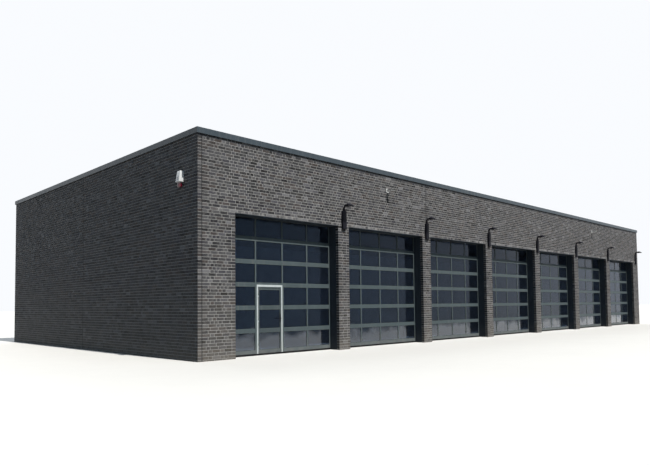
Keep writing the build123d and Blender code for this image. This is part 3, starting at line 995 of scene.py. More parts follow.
@dataclass(frozen=True)
class StudioFloor(Finish):
    """The studio's pale floor: darker to the lamps than to the eye, and darkest far from the hall."""

    to_lamps_near: Colour = (0.122, 0.118, 0.108)
    to_lamps_far: Colour = (0.040, 0.050, 0.060)
    near_edge: tuple[float, float] = (4.0, 11.0)
    blotch_scale: float = 0.35

    def dress(self, on: Surface) -> Feeds:
        """Show the pale colour to the camera, in gloss and through glass, and the darker one elsewhere.

        Args:
            on: The surface that is dressed.

        Returns:
            What feeds the shader, by the socket's name.
        """
        pale = on.ramp(on.mottle(self.blotch_scale), [(0.3, self.tinted(0.97)), (0.7, self.tinted(1.02))])
        _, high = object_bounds()
        axes = on.node("ShaderNodeSeparateXYZ", {0: on.place}).outputs
        gaps = [on.math("SUBTRACT", on.math("ABSOLUTE", axes[axis]), high[axis]) for axis in (0, 1)]
        apart = on.span(on.math("MAXIMUM", *gaps), 0.0, 1.0, *self.near_edge)
        bounced = on.mix(apart, self.to_lamps_near, self.to_lamps_far)
        return {"Roughness": 0.9, "Base Color": on.mix(on.seen_rays(), bounced, pale)}


MORTAR = "bed_mortar"
SEALANT = "joint_sealant"

FINISHES: dict[str, Finish] = {finish.name: finish for finish in (
    Clinker("clinker_brick", (0.064, 0.063, 0.065)),
    Mineral(MORTAR, (0.46, 0.45, 0.43)),
    Mineral("concrete", (0.30, 0.295, 0.28), grain_scale=160.0, blotch_scale=0.7),
    Membrane("roof_membrane", (0.33, 0.335, 0.34)),
    Coated("coping_metal", (0.048, 0.066, 0.080), gloss=0.36),
    # The soffit sheet: a dark coated sheet, made darker still as painted shade for the underside of the
    # lintel
    Coated("soffit_metal", (0.040, 0.050, 0.062), shine=0.1, gloss=0.5, dust_share=0.08),
    Coated("door_aluminium", (0.092, 0.118, 0.124), shine=0.05, gloss=0.42),
    Pane("door_glass", (0.22, 0.29, 0.42)),
    BareMetal("wicket_aluminium", (0.575, 0.625, 0.62), gloss=0.36),
    Coated("wicket_leaf_metal", (0.076, 0.097, 0.102), shine=0.12, gloss=0.42),
    Moulded("seal_rubber", (0.012, 0.012, 0.013), shine=0.12, gloss=0.62, bloom=(0.06, 0.06, 0.06)),
    Moulded(SEALANT, (0.012, 0.012, 0.013), shine=0.15, gloss=0.7, bloom=(0.05, 0.05, 0.05)),
    BareMetal("galvanised_steel", (0.56, 0.57, 0.58), gloss=0.48, drawn=(60.0, 60.0, 60.0), spangle=0.5),
    Coated("light_metal", (0.015, 0.015, 0.021), shine=0.08, gloss=0.5, peel=0.3, dust_share=0.015),
    BareMetal("spout_metal", (0.66, 0.67, 0.66), gloss=0.42, drawn=(12.0, 300.0, 300.0)),
    Moulded("sounder_white", (0.82, 0.83, 0.82), gloss=0.26, coat=0.3),
    Moulded("lens_red", (0.115, 0.005, 0.017), gloss=0.14, bloom=(0.20, 0.05, 0.06), coat=0.5, ribs=95.0),
)}


class Dressing:
    """Hands out the finishes, and seats each finished piece on its body."""

    def __init__(self) -> None:
        """Build the shared effects; a finish is built when it is first asked for."""
        self.effects = Effects()
        self.made: dict[str, bpy.types.Material] = {}

    def finish(self, name: str) -> bpy.types.Material:
        """Return the material of a finish."""
        if name not in self.made:
            self.made[name] = FINISHES[name].build(self.effects)
        return self.made[name]

    def dress_node(self, node: str, finish: str) -> None:
        """Give a CAD node's slots a finish."""
        mesh = FRAME["nodes"][node].data
        if not mesh.materials:
            mesh.materials.append(None)
        for index in range(len(mesh.materials)):
            mesh.materials[index] = self.finish(finish)

    def seat(self, piece: Piece, slot: str, body: str = HALL_BODY, finish: str | None = None,
             replaces: Sequence[str] = ()) -> None:
        """Finish a new piece.

        Args:
            piece: The piece, in place.
            slot: The record's material slot that it belongs to.
            body: The body that carries it.
            finish: The finish, where it isn't the slot's own.
            replaces: CAD nodes that it stands for.
        """
        piece.data.materials.clear()
        piece.data.materials.append(self.finish(finish or slot))
        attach(piece, body)
        if replaces:
            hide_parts(*replaces)
        LOG.info("%s: %d faces on %s", piece.name, len(piece.data.polygons), body)


# Brickwork

class Facing(Enum):
    """A wall face: the direction in which it is laid, and the way it looks."""

    FRONT = ((1.0, 0.0), (0.0, -1.0))
    REAR = ((-1.0, 0.0), (0.0, 1.0))
    LEFT = ((0.0, -1.0), (-1.0, 0.0))
    RIGHT = ((0.0, 1.0), (1.0, 0.0))

    @property
    def along(self) -> np.ndarray:
        """Return the direction of laying."""
        return np.array((*self.value[0], 0.0))

    @property
    def outward(self) -> np.ndarray:
        """Return the way the face looks."""
        return np.array((*self.value[1], 0.0))


class Brick(IntEnum):
    """How long a brick is in its course, in quarters of a stretcher."""

    HEADER = 2
    THREE_QUARTER = 3
    STRETCHER = 4


@dataclass(frozen=True)
class Run:
    """A stretch of brickwork on one face, from a start point, between two heights.

    With single_header, one brick fills each course. lap is how far the first and the last brick
    reach past the run's ends.
    """

    facing: Facing
    start: tuple[float, float]
    length: float
    low: float
    high: float
    single_header: bool = False
    lap: tuple[float, float] = (0.0, 0.0)


@dataclass
class Brickwork:
    """The clinker facing in an irregular bond, laid brick by brick on the mortar of the walls."""

    course: float = 0.25 / 3.0
    bed: float = 0.012
    joint: float = 0.010
    movement: float = 0.018
    quarter: float = 0.0625
    half_length: float = 0.12
    half_height: float = 0.0357
    least_height: float = 0.012
    stand: float = 0.004
    stand_range: tuple[float, float] = (0.75, 1.15)
    slip: float = 0.0008
    lift: float = 0.0007
    arris: float = 0.0022
    stretcher_share: float = 0.5
    most_stretchers: int = 5
    most_headers: int = 3
    header: float = 0.115
    lightness: tuple[float, float] = (0.47, 0.26)
    paler: tuple[float, float] = (0.15, 0.4)
    sealant_stand: float = 0.0015
    sealant_rim: float = 0.25
    sealant_hollow: float = 0.5
    datum: float = 0.0
    dice: random.Random = field(default_factory=lambda: random.Random(7))

    def brick(self) -> Pattern:
        """Model one stretcher with its worn arrises.

        Returns:
            The brick, open at the back, which lies in the mortar.
        """
        length, height = self.half_length, self.half_height
        brick = new_block("brick", (-length, -self.stand, -height), (length, 0.0, height))
        with editing(brick, lambda centre, normal: normal.y > 0.5):
            bpy.ops.mesh.delete(type="FACE")
        with editing(brick, lambda centre, normal: normal.y < -0.5):
            shrink = (1 - self.arris / length, 1.0, 1 - self.arris / height)
            bpy.ops.transform.resize(value=shrink, center_override=(0, -self.stand, 0))
        return Pattern.from_piece(brick)

    def bond(self, length: float, odd: bool) -> list[tuple[float, float]]:
        """Divide one course into bricks.

        Args:
            length: The run's length.
            odd: Whether the course starts with a three-quarter brick, so that no joint lies on another.

        Returns:
            Start and end of each brick along the run.
        """
        quarters = max(4, round((length + self.joint) / self.quarter))
        fit = (length + self.joint) / quarters
        at, spans, row = 0, [], []
        while at < quarters:
            left = quarters - at
            if at == 0 and odd:
                size = Brick.THREE_QUARTER
            elif left in (2, 3, 4):
                size = left
            elif left == 5:
                size = Brick.THREE_QUARTER
            elif left == 6:
                size = self.dice.choice((Brick.HEADER, Brick.STRETCHER))
            else:
                size = Brick.STRETCHER if self.dice.random() < self.stretcher_share else Brick.HEADER
                if row[-self.most_stretchers:] == [Brick.STRETCHER] * self.most_stretchers:
                    size = Brick.HEADER
                if row[-self.most_headers:] == [Brick.HEADER] * self.most_headers:
                    size = Brick.STRETCHER
            row.append(size)
            spans.append((at * fit, (at + size) * fit - self.joint))
            at += size
        return spans

    def courses(self, run: Run) -> Iterator[tuple[int, float, float]]:
        """Go up the courses of a run, and leave out those too low for a brick.

        Args:
            run: The run.

        Yields:
            The course's number from the datum up, and the foot and the head of its bricks.
        """
        first = math.floor((run.low - self.datum) / self.course + 1e-6)
        last = math.ceil((run.high - self.datum) / self.course - 1e-6)
        for row in range(first, last):
            low = max(run.low, self.datum + row * self.course + self.bed / 2)
            high = min(run.high, self.datum + (row + 1) * self.course - self.bed / 2)
            if high - low >= self.least_height:
                yield row, low, high

    def lay(self, name: str, runs: Sequence[Run], pattern: Pattern) -> Piece:
        """Lay every course of some runs into one piece.

        Args:
            name: The piece's name.
            runs: The stretches to lay.
            pattern: The modelled brick.

        Returns:
            The piece, with a tone for each brick.
        """
        spans, centres, turns, tones = [], [], [], []
        for run in runs:
            turn = np.stack([run.facing.along, -run.facing.outward, (0.0, 0.0, 1.0)])
            for row, low, high in self.courses(run):
                bricks = [(0.0, run.length)] if run.single_header else self.bond(run.length, row % 2 == 1)
                for index, (start, end) in enumerate(bricks):
                    start -= run.lap[0] if index == 0 else 0.0
                    end += run.lap[1] if index == len(bricks) - 1 else 0.0
                    spans.append((end - start, self.stand * self.dice.uniform(*self.stand_range),
                                  high - low))
                    along = (start + end) / 2 + self.dice.uniform(-self.slip, self.slip)
                    height = (low + high) / 2 + self.dice.uniform(-self.lift, self.lift)
                    centre = np.array((*run.start, height)) + run.facing.along * along
                    centres.append(centre + run.facing.outward * self.stand / 2)
                    turns.append(turn)
                    tones.append(self.tone(row == 0 and run.facing is Facing.FRONT))
        places = pattern.stretched(np.array(spans))
        places = np.einsum("cpi,cij->cpj", places, np.array(turns)) + np.array(centres)[:, None, :]
        return pattern.laid(name, places, np.array(tones))

    def tone(self, pale: bool) -> tuple[float, float, float, float]:
        """Draw one brick's tone.

        Args:
            pale: Whether it lies in the course over the doors, which is paler and has salt blooms.

        Returns:
            The brick's lightness, hue, glaze and salt bloom.
        """
        light = self.dice.gauss(*self.lightness) + (self.dice.uniform(*self.paler) if pale else 0.0)
        bloom = self.dice.random() ** 2 if pale else 0.0
        return min(1.0, max(0.0, light)), self.dice.random(), self.dice.random(), bloom


@dataclass
class BrickShell:
    """The hall's brick faces: front, sides, rear and the jambs of the bays."""

    dressing: Dressing
    work: Brickwork = field(default_factory=Brickwork)
    joint_pier: int = 2
    rear_spans: int = 4

    def __post_init__(self) -> None:
        """Take the walls' places from the frame."""
        self.near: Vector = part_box("left_wall")[0]
        self.far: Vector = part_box("right_wall")[1]
        self.head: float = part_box("front_band")[0].z
        self.clear: float = levels_of("opening_linings", 2)[1]
        self.facing_back: float = levels_of("opening_linings", 1)[1]
        piers = piers_of_front()
        lows = [self.near.x] + [pier.low.x for pier in piers[1:]]
        highs = [pier.high.x for pier in piers[:-1]] + [self.far.x]
        self.piers: list[tuple[float, float]] = list(zip(lows, highs))
        self.expansion: float = sum(self.piers[self.joint_pier]) / 2
        self.half_depth: float = (self.far.y - self.near.y - self.work.movement) / 2
        gaps = (self.rear_spans - 1) * self.work.movement
        self.rear_length: float = (self.far.x - self.near.x - gaps) / self.rear_spans
        self.work.datum = self.head

    def build(self) -> None:
        """Lay every face and its movement joints."""
        pattern = self.work.brick()
        for name, runs in (("brick_front", self.front()), ("brick_jambs", self.jambs()),
                           ("brick_left", self.left()), ("brick_right", self.right()),
                           ("brick_rear", self.rear())):
            self.dressing.seat(self.work.lay(name, runs, pattern), "clinker_brick")
        self.dressing.seat(self.sealant(), "seal_rubber", finish=SEALANT)

    def front(self) -> list[Run]:
        """Divide the front.

        Returns:
            The headers up both corners, the brick over the doors on each side of the expansion
            joint, and the piers.
        """
        joint, header, out = self.work.movement, self.work.header, self.work.stand
        left, right, y, top = self.near.x, self.far.x, self.near.y, self.far.z
        corner, middle = header + joint, self.expansion
        runs = [
            Run(Facing.FRONT, (left, y), header, 0.0, top, True, (out, 0.0)),
            Run(Facing.FRONT, (right - header, y), header, 0.0, top, True, (0.0, out)),
            Run(Facing.FRONT, (left + corner, y), middle - joint / 2 - left - corner, self.head, top),
            Run(Facing.FRONT, (middle + joint / 2, y), right - corner - middle - joint / 2, self.head, top),
        ]
        last = len(self.piers) - 1
        for index, (low, high) in enumerate(self.piers):
            start = low + (corner if index == 0 else 0.0)
            end = high - (corner if index == last else 0.0)
            laps = (out if index > 0 else 0.0, out if index < last else 0.0)
            runs.append(Run(Facing.FRONT, (start, y), end - start, 0.0, self.head, lap=laps))
        return runs

    def jambs(self) -> list[Run]:
        """Divide the jambs.

        Returns:
            The headers up both jambs of each bay.
        """
        y, back, top = self.near.y, self.facing_back, self.clear
        runs = []
        for (_, before), (after, _) in zip(self.piers, self.piers[1:]):
            runs.append(Run(Facing.RIGHT, (before, y), back - y, 0.0, top, True))
            runs.append(Run(Facing.LEFT, (after, back), back - y, 0.0, top, True))
        return runs

    def left(self) -> list[Run]:
        """Return both halves of the left side, from the rear corner on."""
        starts = self.far.y, self.far.y - self.half_depth - self.work.movement
        return [Run(Facing.LEFT, (self.near.x, y), self.half_depth, 0.0, self.far.z) for y in starts]

    def right(self) -> list[Run]:
        """Return both halves of the right side, from the front corner on."""
        starts = self.near.y, self.near.y + self.half_depth + self.work.movement
        return [Run(Facing.RIGHT, (self.far.x, y), self.half_depth, 0.0, self.far.z) for y in starts]

    def rear(self) -> list[Run]:
        """Divide the rear.

        Returns:
            The runs between its movement joints.
        """
        step, out, last = self.rear_length + self.work.movement, self.work.stand, self.rear_spans - 1
        return [Run(Facing.REAR, (self.far.x - index * step, self.far.y), self.rear_length, 0.0, self.far.z,
                    lap=(out if index == 0 else 0.0, out if index == last else 0.0))
                for index in range(self.rear_spans)]

    def seams(self) -> list[tuple[Facing, float, float]]:
        """List the movement joints.

        Returns:
            The face of each joint, where it starts along its axis, and its foot.
        """
        joint, header = self.work.movement, self.work.header
        half = self.near.y + self.half_depth
        seams = [(Facing.FRONT, self.near.x + header, 0.0),
                 (Facing.FRONT, self.far.x - (header + joint), 0.0),
                 (Facing.FRONT, self.expansion - joint / 2, self.head),
                 (Facing.LEFT, half, 0.0), (Facing.RIGHT, half, 0.0)]
        for index in range(1, self.rear_spans):
            seams.append((Facing.REAR, self.far.x - index * (self.rear_length + joint), 0.0))
        return seams

    def sealant(self) -> Piece:
        """Model the bead of sealant in each movement joint.

        Returns:
            The beads, hollowed along their faces.
        """
        joint, stand, top = self.work.movement, self.work.sealant_stand, self.far.z
        rim, hollow = joint * self.work.sealant_rim, stand * self.work.sealant_hollow
        depths = {
            Facing.FRONT: (self.near.y - stand, self.near.y),
            Facing.REAR: (self.far.y, self.far.y + stand),
            Facing.LEFT: (self.near.x - stand, self.near.x),
            Facing.RIGHT: (self.far.x, self.far.x + stand),
        }
        beads = []
        for facing, at, foot in self.seams():
            low, high = depths[facing]
            if facing in (Facing.FRONT, Facing.REAR):
                bead = new_block("bead", (at, low, foot), (at + joint, high, top))
            else:
                bead = new_block("bead", (low, at, foot), (high, at + joint, top))
            outward = Vector(facing.outward)
            with editing(bead, lambda centre, normal: normal.dot(outward) > 0.5):
                bpy.ops.mesh.inset(thickness=rim, depth=-hollow)
            beads.append(bead)
        return join("movement_joints", beads)


# Metalwork on the walls and the roof

@dataclass
class CopingTrim:
    """Covers over the joints of the sheet-metal capping, the outermost a corner length from its ends."""

    dressing: Dressing
    pitch: float = 3.0
    cover: float = 0.09
    sheet: float = 0.0022
    corner_length: float = 0.40
    fall: float = 0.023
    lip_rise: float = 0.02

    def build(self) -> None:
        """Put a cover over each joint of the four runs."""
        covers = []
        for node, axis, outer_is_low in (("coping_front", 0, True), ("coping_rear", 0, False),
                                         ("coping_left", 1, True), ("coping_right", 1, False)):
            run = Box(*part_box(node))
            start, end = run.low[axis] + self.corner_length, run.high[axis] - self.corner_length
            count = max(1, round((end - start) / self.pitch))
            for step in range(count + 1):
                covers.append(self.strip(run, axis, outer_is_low, start + (end - start) * step / count))
        piece = join("coping_joint_covers", covers)
        shade(piece)
        self.dressing.seat(piece, "coping_metal")

    def strip(self, run: Box, axis: int, outer_is_low: bool, at: float) -> Piece:
        """Bend one cover down the fascia, over the top and down the inner lip.

        Args:
            run: The box of the capping that it lies on.
            axis: The axis along which the capping runs.
            outer_is_low: Whether the fascia is on the box's low side.
            at: The joint's place along the run.

        Returns:
            The cover.
        """
        across = 1 - axis
        inner = run.high[across] if outer_is_low else run.low[across]
        low, high = list(run.low), list(run.high)
        low[axis], high[axis] = at - self.cover / 2, at + self.cover / 2
        strip = new_block("cover", low, high)
        with editing(strip) as mesh:
            for vertex in mesh.verts:
                if abs(vertex.co[across] - inner) < NEAR_ENOUGH:
                    vertex.co.z += -self.fall if vertex.co.z > run.centre.z else self.lip_rise
            bmesh.update_edit_mesh(strip.data)
        with editing(strip, lambda centre, normal: abs(normal[axis]) > 0.9 or normal.z < -0.9):
            bpy.ops.mesh.delete(type="FACE")
        solid = strip.modifiers.new("sheet", "SOLIDIFY")
        solid.thickness = self.sheet
        solid.offset = 1.0
        take(strip)
        bpy.ops.object.modifier_apply(modifier=solid.name)
        return strip


@dataclass
class RoofTrim:
    """Welded seams of the roofing sheet, the strips along the parapet and the outlets near the spouts."""

    dressing: Dressing
    pitch: float = 1.5
    lap: float = 0.05
    lap_sheet: float = 0.003
    lap_arris: float = 0.0012
    lap_gap: float = 0.06
    strip: float = 0.15
    strip_inset: float = 0.015
    outlet_radius: float = 0.16
    outlet_inset: float = 1.1
    outlet_aside: float = 0.9
    outlet_height: float = 0.024
    outlet_rim: float = 0.03
    outlet_depth: float = 0.014
    outlet_arris: float = 0.003
    bar_pitch: float = 0.034
    bar_half: float = 0.005
    bar_foot: float = -0.004
    bar_top: float = 0.010
    bar_arris: float = 0.002
    bars_each_way: int = 3

    def build(self) -> None:
        """Lay the seams, the strips and the outlets."""
        roof = Box(*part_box("roof_covering"))
        self.seams(roof)
        self.strips(roof)
        self.outlets(roof)

    def seams(self, roof: Box) -> None:
        """Lay the seams between the widths of the roofing sheet, from front to rear."""
        low, high = roof
        seam = soft_block("seam", (-0.5, -self.lap / 2, 0.0), (0.5, self.lap / 2, self.lap_sheet),
                          self.lap_arris, 1)
        pattern = Pattern.from_piece(seam)
        count = int((high.x - low.x) / self.pitch)
        rows = [low.x + (index + 0.5) * (high.x - low.x) / count for index in range(count)]
        depth = high.y - low.y - self.lap_gap
        places = pattern.stretched(np.array([(depth, self.lap, self.lap_sheet)] * count))
        places = places[:, :, [1, 0, 2]]
        places += np.array([(x, (low.y + high.y) / 2, high.z + self.lap_sheet / 2) for x in rows])[:, None, :]
        seams = pattern.laid("roof_seams", places)
        with editing(seams):
            bpy.ops.mesh.normals_make_consistent(inside=False)
        self.dressing.seat(seams, "roof_membrane")

    def strips(self, roof: Box) -> None:
        """Lay the welded strip where the roofing sheet turns up the parapet."""
        x0, x1 = roof.low.x + self.strip_inset, roof.high.x - self.strip_inset
        y0, y1 = roof.low.y + self.strip_inset, roof.high.y - self.strip_inset
        foot, top = roof.high.z, roof.high.z + self.lap_sheet
        strips = [soft_block("strip", (*low, foot), (*high, top), self.lap_arris, 1)
                  for low, high in (((x0, y0), (x1, y0 + self.strip)), ((x0, y1 - self.strip), (x1, y1)),
                                    ((x0, y0), (x0 + self.strip, y1)), ((x1 - self.strip, y0), (x1, y1)))]
        self.dressing.seat(join("roof_edge_strips", strips), "roof_membrane")

    def outlets(self, roof: Box) -> None:
        """Set a grated outlet in the roof inside of each spout."""
        pieces = []
        for spout in solids_of("overflow_spouts"):
            x, y = spout.centre.x + self.outlet_aside, roof.low.y + self.outlet_inset
            z = roof.high.z + self.outlet_height / 2
            ring = new_round("outlet", (x, y, z), self.outlet_radius, self.outlet_height, sides=32)
            with editing(ring, lambda middle, normal: normal.z > 0.9):
                bpy.ops.mesh.inset(thickness=self.outlet_rim)
                bpy.ops.mesh.extrude_region_move(
                    TRANSFORM_OT_translate={"value": (0, 0, -self.outlet_depth)})
            soften(ring, self.outlet_arris, 2)
            pieces.append(ring)
            inside = self.outlet_radius - self.outlet_rim
            for step in range(-self.bars_each_way, self.bars_each_way + 1):
                reach = math.sqrt(max(0.0, inside ** 2 - (step * self.bar_pitch) ** 2))
                middle = y + step * self.bar_pitch
                pieces.append(soft_block("bar", (x - reach, middle - self.bar_half, z + self.bar_foot),
                                         (x + reach, middle + self.bar_half, z + self.bar_top),
                                         self.bar_arris, 1))
        self.dressing.seat(join("roof_outlets", pieces), "galvanised_steel")


# Doors

@dataclass
class DoorTrim:
    """Gaskets and inner beads round the panes of all doors, and the lips at the sectional doors' feet."""

    dressing: Dressing
    cover: float = 0.008
    gasket: float = 0.006
    gasket_stand: float = 0.0025
    bead_depth: float = 0.010
    rounding: float = 0.25
    lip_rise: float = 0.050
    lip_sheet: float = 0.012
    lip_gap: float = 0.010
    lip_arris: float = 0.004

    def build(self) -> None:
        """Lay a gasket before and a bead behind every pane, and hang the foot lips."""
        gasket = self.ring("gasket", self.gasket, self.gasket_stand)
        bead = self.ring("bead", self.cover, self.bead_depth)
        hall_panes = [pane for bay in range(1, BAYS + 1) for pane in solids_of(f"door_glazing_{bay}")]
        leaf_panes = solids_of("wicket_glazing")
        for door, panes, metal, body in (("door", hall_panes, "door_aluminium", HALL_BODY),
                                         ("wicket", leaf_panes, "wicket_leaf_metal", DOOR_BODY)):
            self.dressing.seat(self.gaskets(f"{door}_gaskets", gasket, panes), "seal_rubber", body)
            self.dressing.seat(self.beads(f"{door}_beads", bead, panes), metal, body)
        self.dressing.seat(self.foot_lips(), "seal_rubber")

    def ring(self, name: str, rim: float, depth: float) -> Pattern:
        """Model a rectangular ring in the X-Z plane, a metre square outside.

        Args:
            name: The ring's name.
            rim: How wide its bars are.
            depth: How deep it is along Y.

        Returns:
            The ring as a pattern that stretches to a pane's size.
        """
        ring = new_block(name, (-0.5, -depth / 2, -0.5), (0.5, depth / 2, 0.5))
        with editing(ring, lambda centre, normal: abs(normal.y) > 0.5):
            bpy.ops.mesh.inset(thickness=rim)
        with editing(ring, lambda centre, normal: (abs(normal.y) > 0.5
                                                   and math.hypot(centre.x, centre.z) < NEAR_ENOUGH)):
            bpy.ops.mesh.bridge_edge_loops()
        soften(ring, min(rim, depth) * self.rounding, 1)
        return Pattern.from_piece(ring)

    def gaskets(self, name: str, pattern: Pattern, panes: Sequence[Box]) -> Piece:
        """Lay the rubber lips between the front lip of the metal and the glass.

        Args:
            name: The piece's name.
            pattern: The modelled lip.
            panes: The panes.

        Returns:
            The lips of all the panes.
        """
        return pattern.laid_at(
            name,
            [(pane.size.x - 2 * self.cover, self.gasket_stand, pane.size.z - 2 * self.cover)
             for pane in panes],
            [(pane.centre.x, pane.low.y - self.gasket_stand / 2, pane.centre.z) for pane in panes])

    def beads(self, name: str, pattern: Pattern, panes: Sequence[Box]) -> Piece:
        """Lay the glazing beads that hold the panes from inside.

        Args:
            name: The piece's name.
            pattern: The modelled bead.
            panes: The panes.

        Returns:
            The beads of all the panes.
        """
        return pattern.laid_at(
            name, [(pane.size.x, self.bead_depth, pane.size.z) for pane in panes],
            [(pane.centre.x, pane.high.y + self.bead_depth / 2, pane.centre.z) for pane in panes])

    def foot_lips(self) -> Piece:
        """Hang a rubber lip from each door's foot seal over the edge of the floor.

        Returns:
            The lips of all the bays.
        """
        piers = piers_of_front()
        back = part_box("hall_floor")[0].y
        lips = [soft_block("lip", (before.high.x + self.lip_gap, back - self.lip_sheet, 0.0),
                           (after.low.x - self.lip_gap, back, self.lip_rise), self.lip_arris)
                for before, after in zip(piers, piers[1:])]
        return join("door_foot_lips", lips)


@dataclass
class PassDoorTrim:
    """The pass door's lever handles and locks, and the coated strips on its frame."""

    dressing: Dressing
    plate_half: float = 0.017
    plate_sheet: float = 0.005
    plate_arris: float = 0.0022
    lever_radius: float = 0.0095
    lever: float = 0.125
    lever_gap: float = 0.002
    lever_arris: float = 0.0025
    standoff: float = 0.052
    bend: float = 0.016
    rosette_radius: float = 0.015
    rosette_length: float = 0.006
    rosette_out: float = 0.008
    rosette_arris: float = 0.0015
    cylinder_drop: float = 0.072
    cylinder_radius: float = 0.0085
    cylinder_length: float = 0.009
    cylinder_out: float = 0.0075
    cylinder_rim: float = 0.002
    cylinder_dish: float = 0.0015
    cylinder_arris: float = 0.0006
    frame_face: float = 0.082
    edge: float = 0.034
    head_edge: float = 0.024
    edge_sheet: float = 0.0015

    def build(self) -> None:
        """Model the handles on both faces and the frame's strips, and finish the hinges' leaf halves."""
        pieces = []
        leaf = Box(*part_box("wicket_leaf"))
        for room in solids_of("wicket_handle"):
            pieces += self.handle(room, leaf)
        self.dressing.seat(join("wicket_lever_handles", pieces), "light_metal", DOOR_BODY,
                           replaces=["wicket_handle"])
        self.dressing.dress_node("wicket_hinge_leaves", "wicket_leaf_metal")
        self.dressing.seat(self.edging(), "door_aluminium")

    def edging(self) -> Piece:
        """Model the coated strips on the frame.

        Returns:
            The strips down its outer edges and along the foot of its head.
        """
        low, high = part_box("wicket_frame")
        front, back = low.y - self.edge_sheet, low.y
        inner = high.z - self.frame_face
        spans = (((low.x, low.z), (low.x + self.edge, high.z)),
                 ((high.x - self.edge, low.z), (high.x, high.z)),
                 ((low.x + self.frame_face, inner), (high.x - self.frame_face, inner + self.head_edge)))
        strips = [soft_block("edge", (x0, front, z0), (x1, back, z1), self.edge_sheet * 0.3, 1)
                  for (x0, z0), (x1, z1) in spans]
        return join("wicket_edge_strips", strips)

    def handle(self, room: Box, leaf: Box) -> list[Piece]:
        """Model one handle inside the room that its solids hold.

        Args:
            room: The box of the CAD handle on one face of the leaf.
            leaf: The box of the leaf.

        Returns:
            The handle's plate, lever, rosette and lock cylinder.
        """
        side = -1.0 if room.low.y < leaf.low.y else 1.0
        face = leaf.low.y if side < 0 else leaf.high.y
        x = room.high.x - self.plate_half
        z = room.centre.z
        near, far = sorted((face, face + side * self.plate_sheet))
        plate = soft_block("plate", (x - self.plate_half, near, room.low.z),
                           (x + self.plate_half, far, room.high.z), self.plate_arris, 3)
        lever = bent_bar("lever", Vector((x, face + side * self.plate_sheet, z)), Vector((0.0, side, 0.0)),
                         self.standoff - self.bend, self.bend, Vector((-1.0, 0.0, 0.0)),
                         self.lever - self.bend - self.lever_gap, self.lever_radius, sides=16, steps=6)
        soften(lever, self.lever_arris, 2, sharp=60.0)
        rosette = new_round("rosette", (x, face + side * self.rosette_out, z), self.rosette_radius,
                            self.rosette_length, lying=True, sides=28)
        soften(rosette, self.rosette_arris, 2)
        lock = new_round("lock", (x, face + side * self.cylinder_out, z - self.cylinder_drop),
                         self.cylinder_radius, self.cylinder_length, lying=True)
        with editing(lock, lambda centre, normal: normal.y * side > 0.9):
            bpy.ops.mesh.inset(thickness=self.cylinder_rim)
            bpy.ops.mesh.extrude_region_move(
                TRANSFORM_OT_translate={"value": (0, -side * self.cylinder_dish, 0)})
        soften(lock, self.cylinder_arris, 1)
        return [plate, lever, rosette, lock]


# Wall fittings

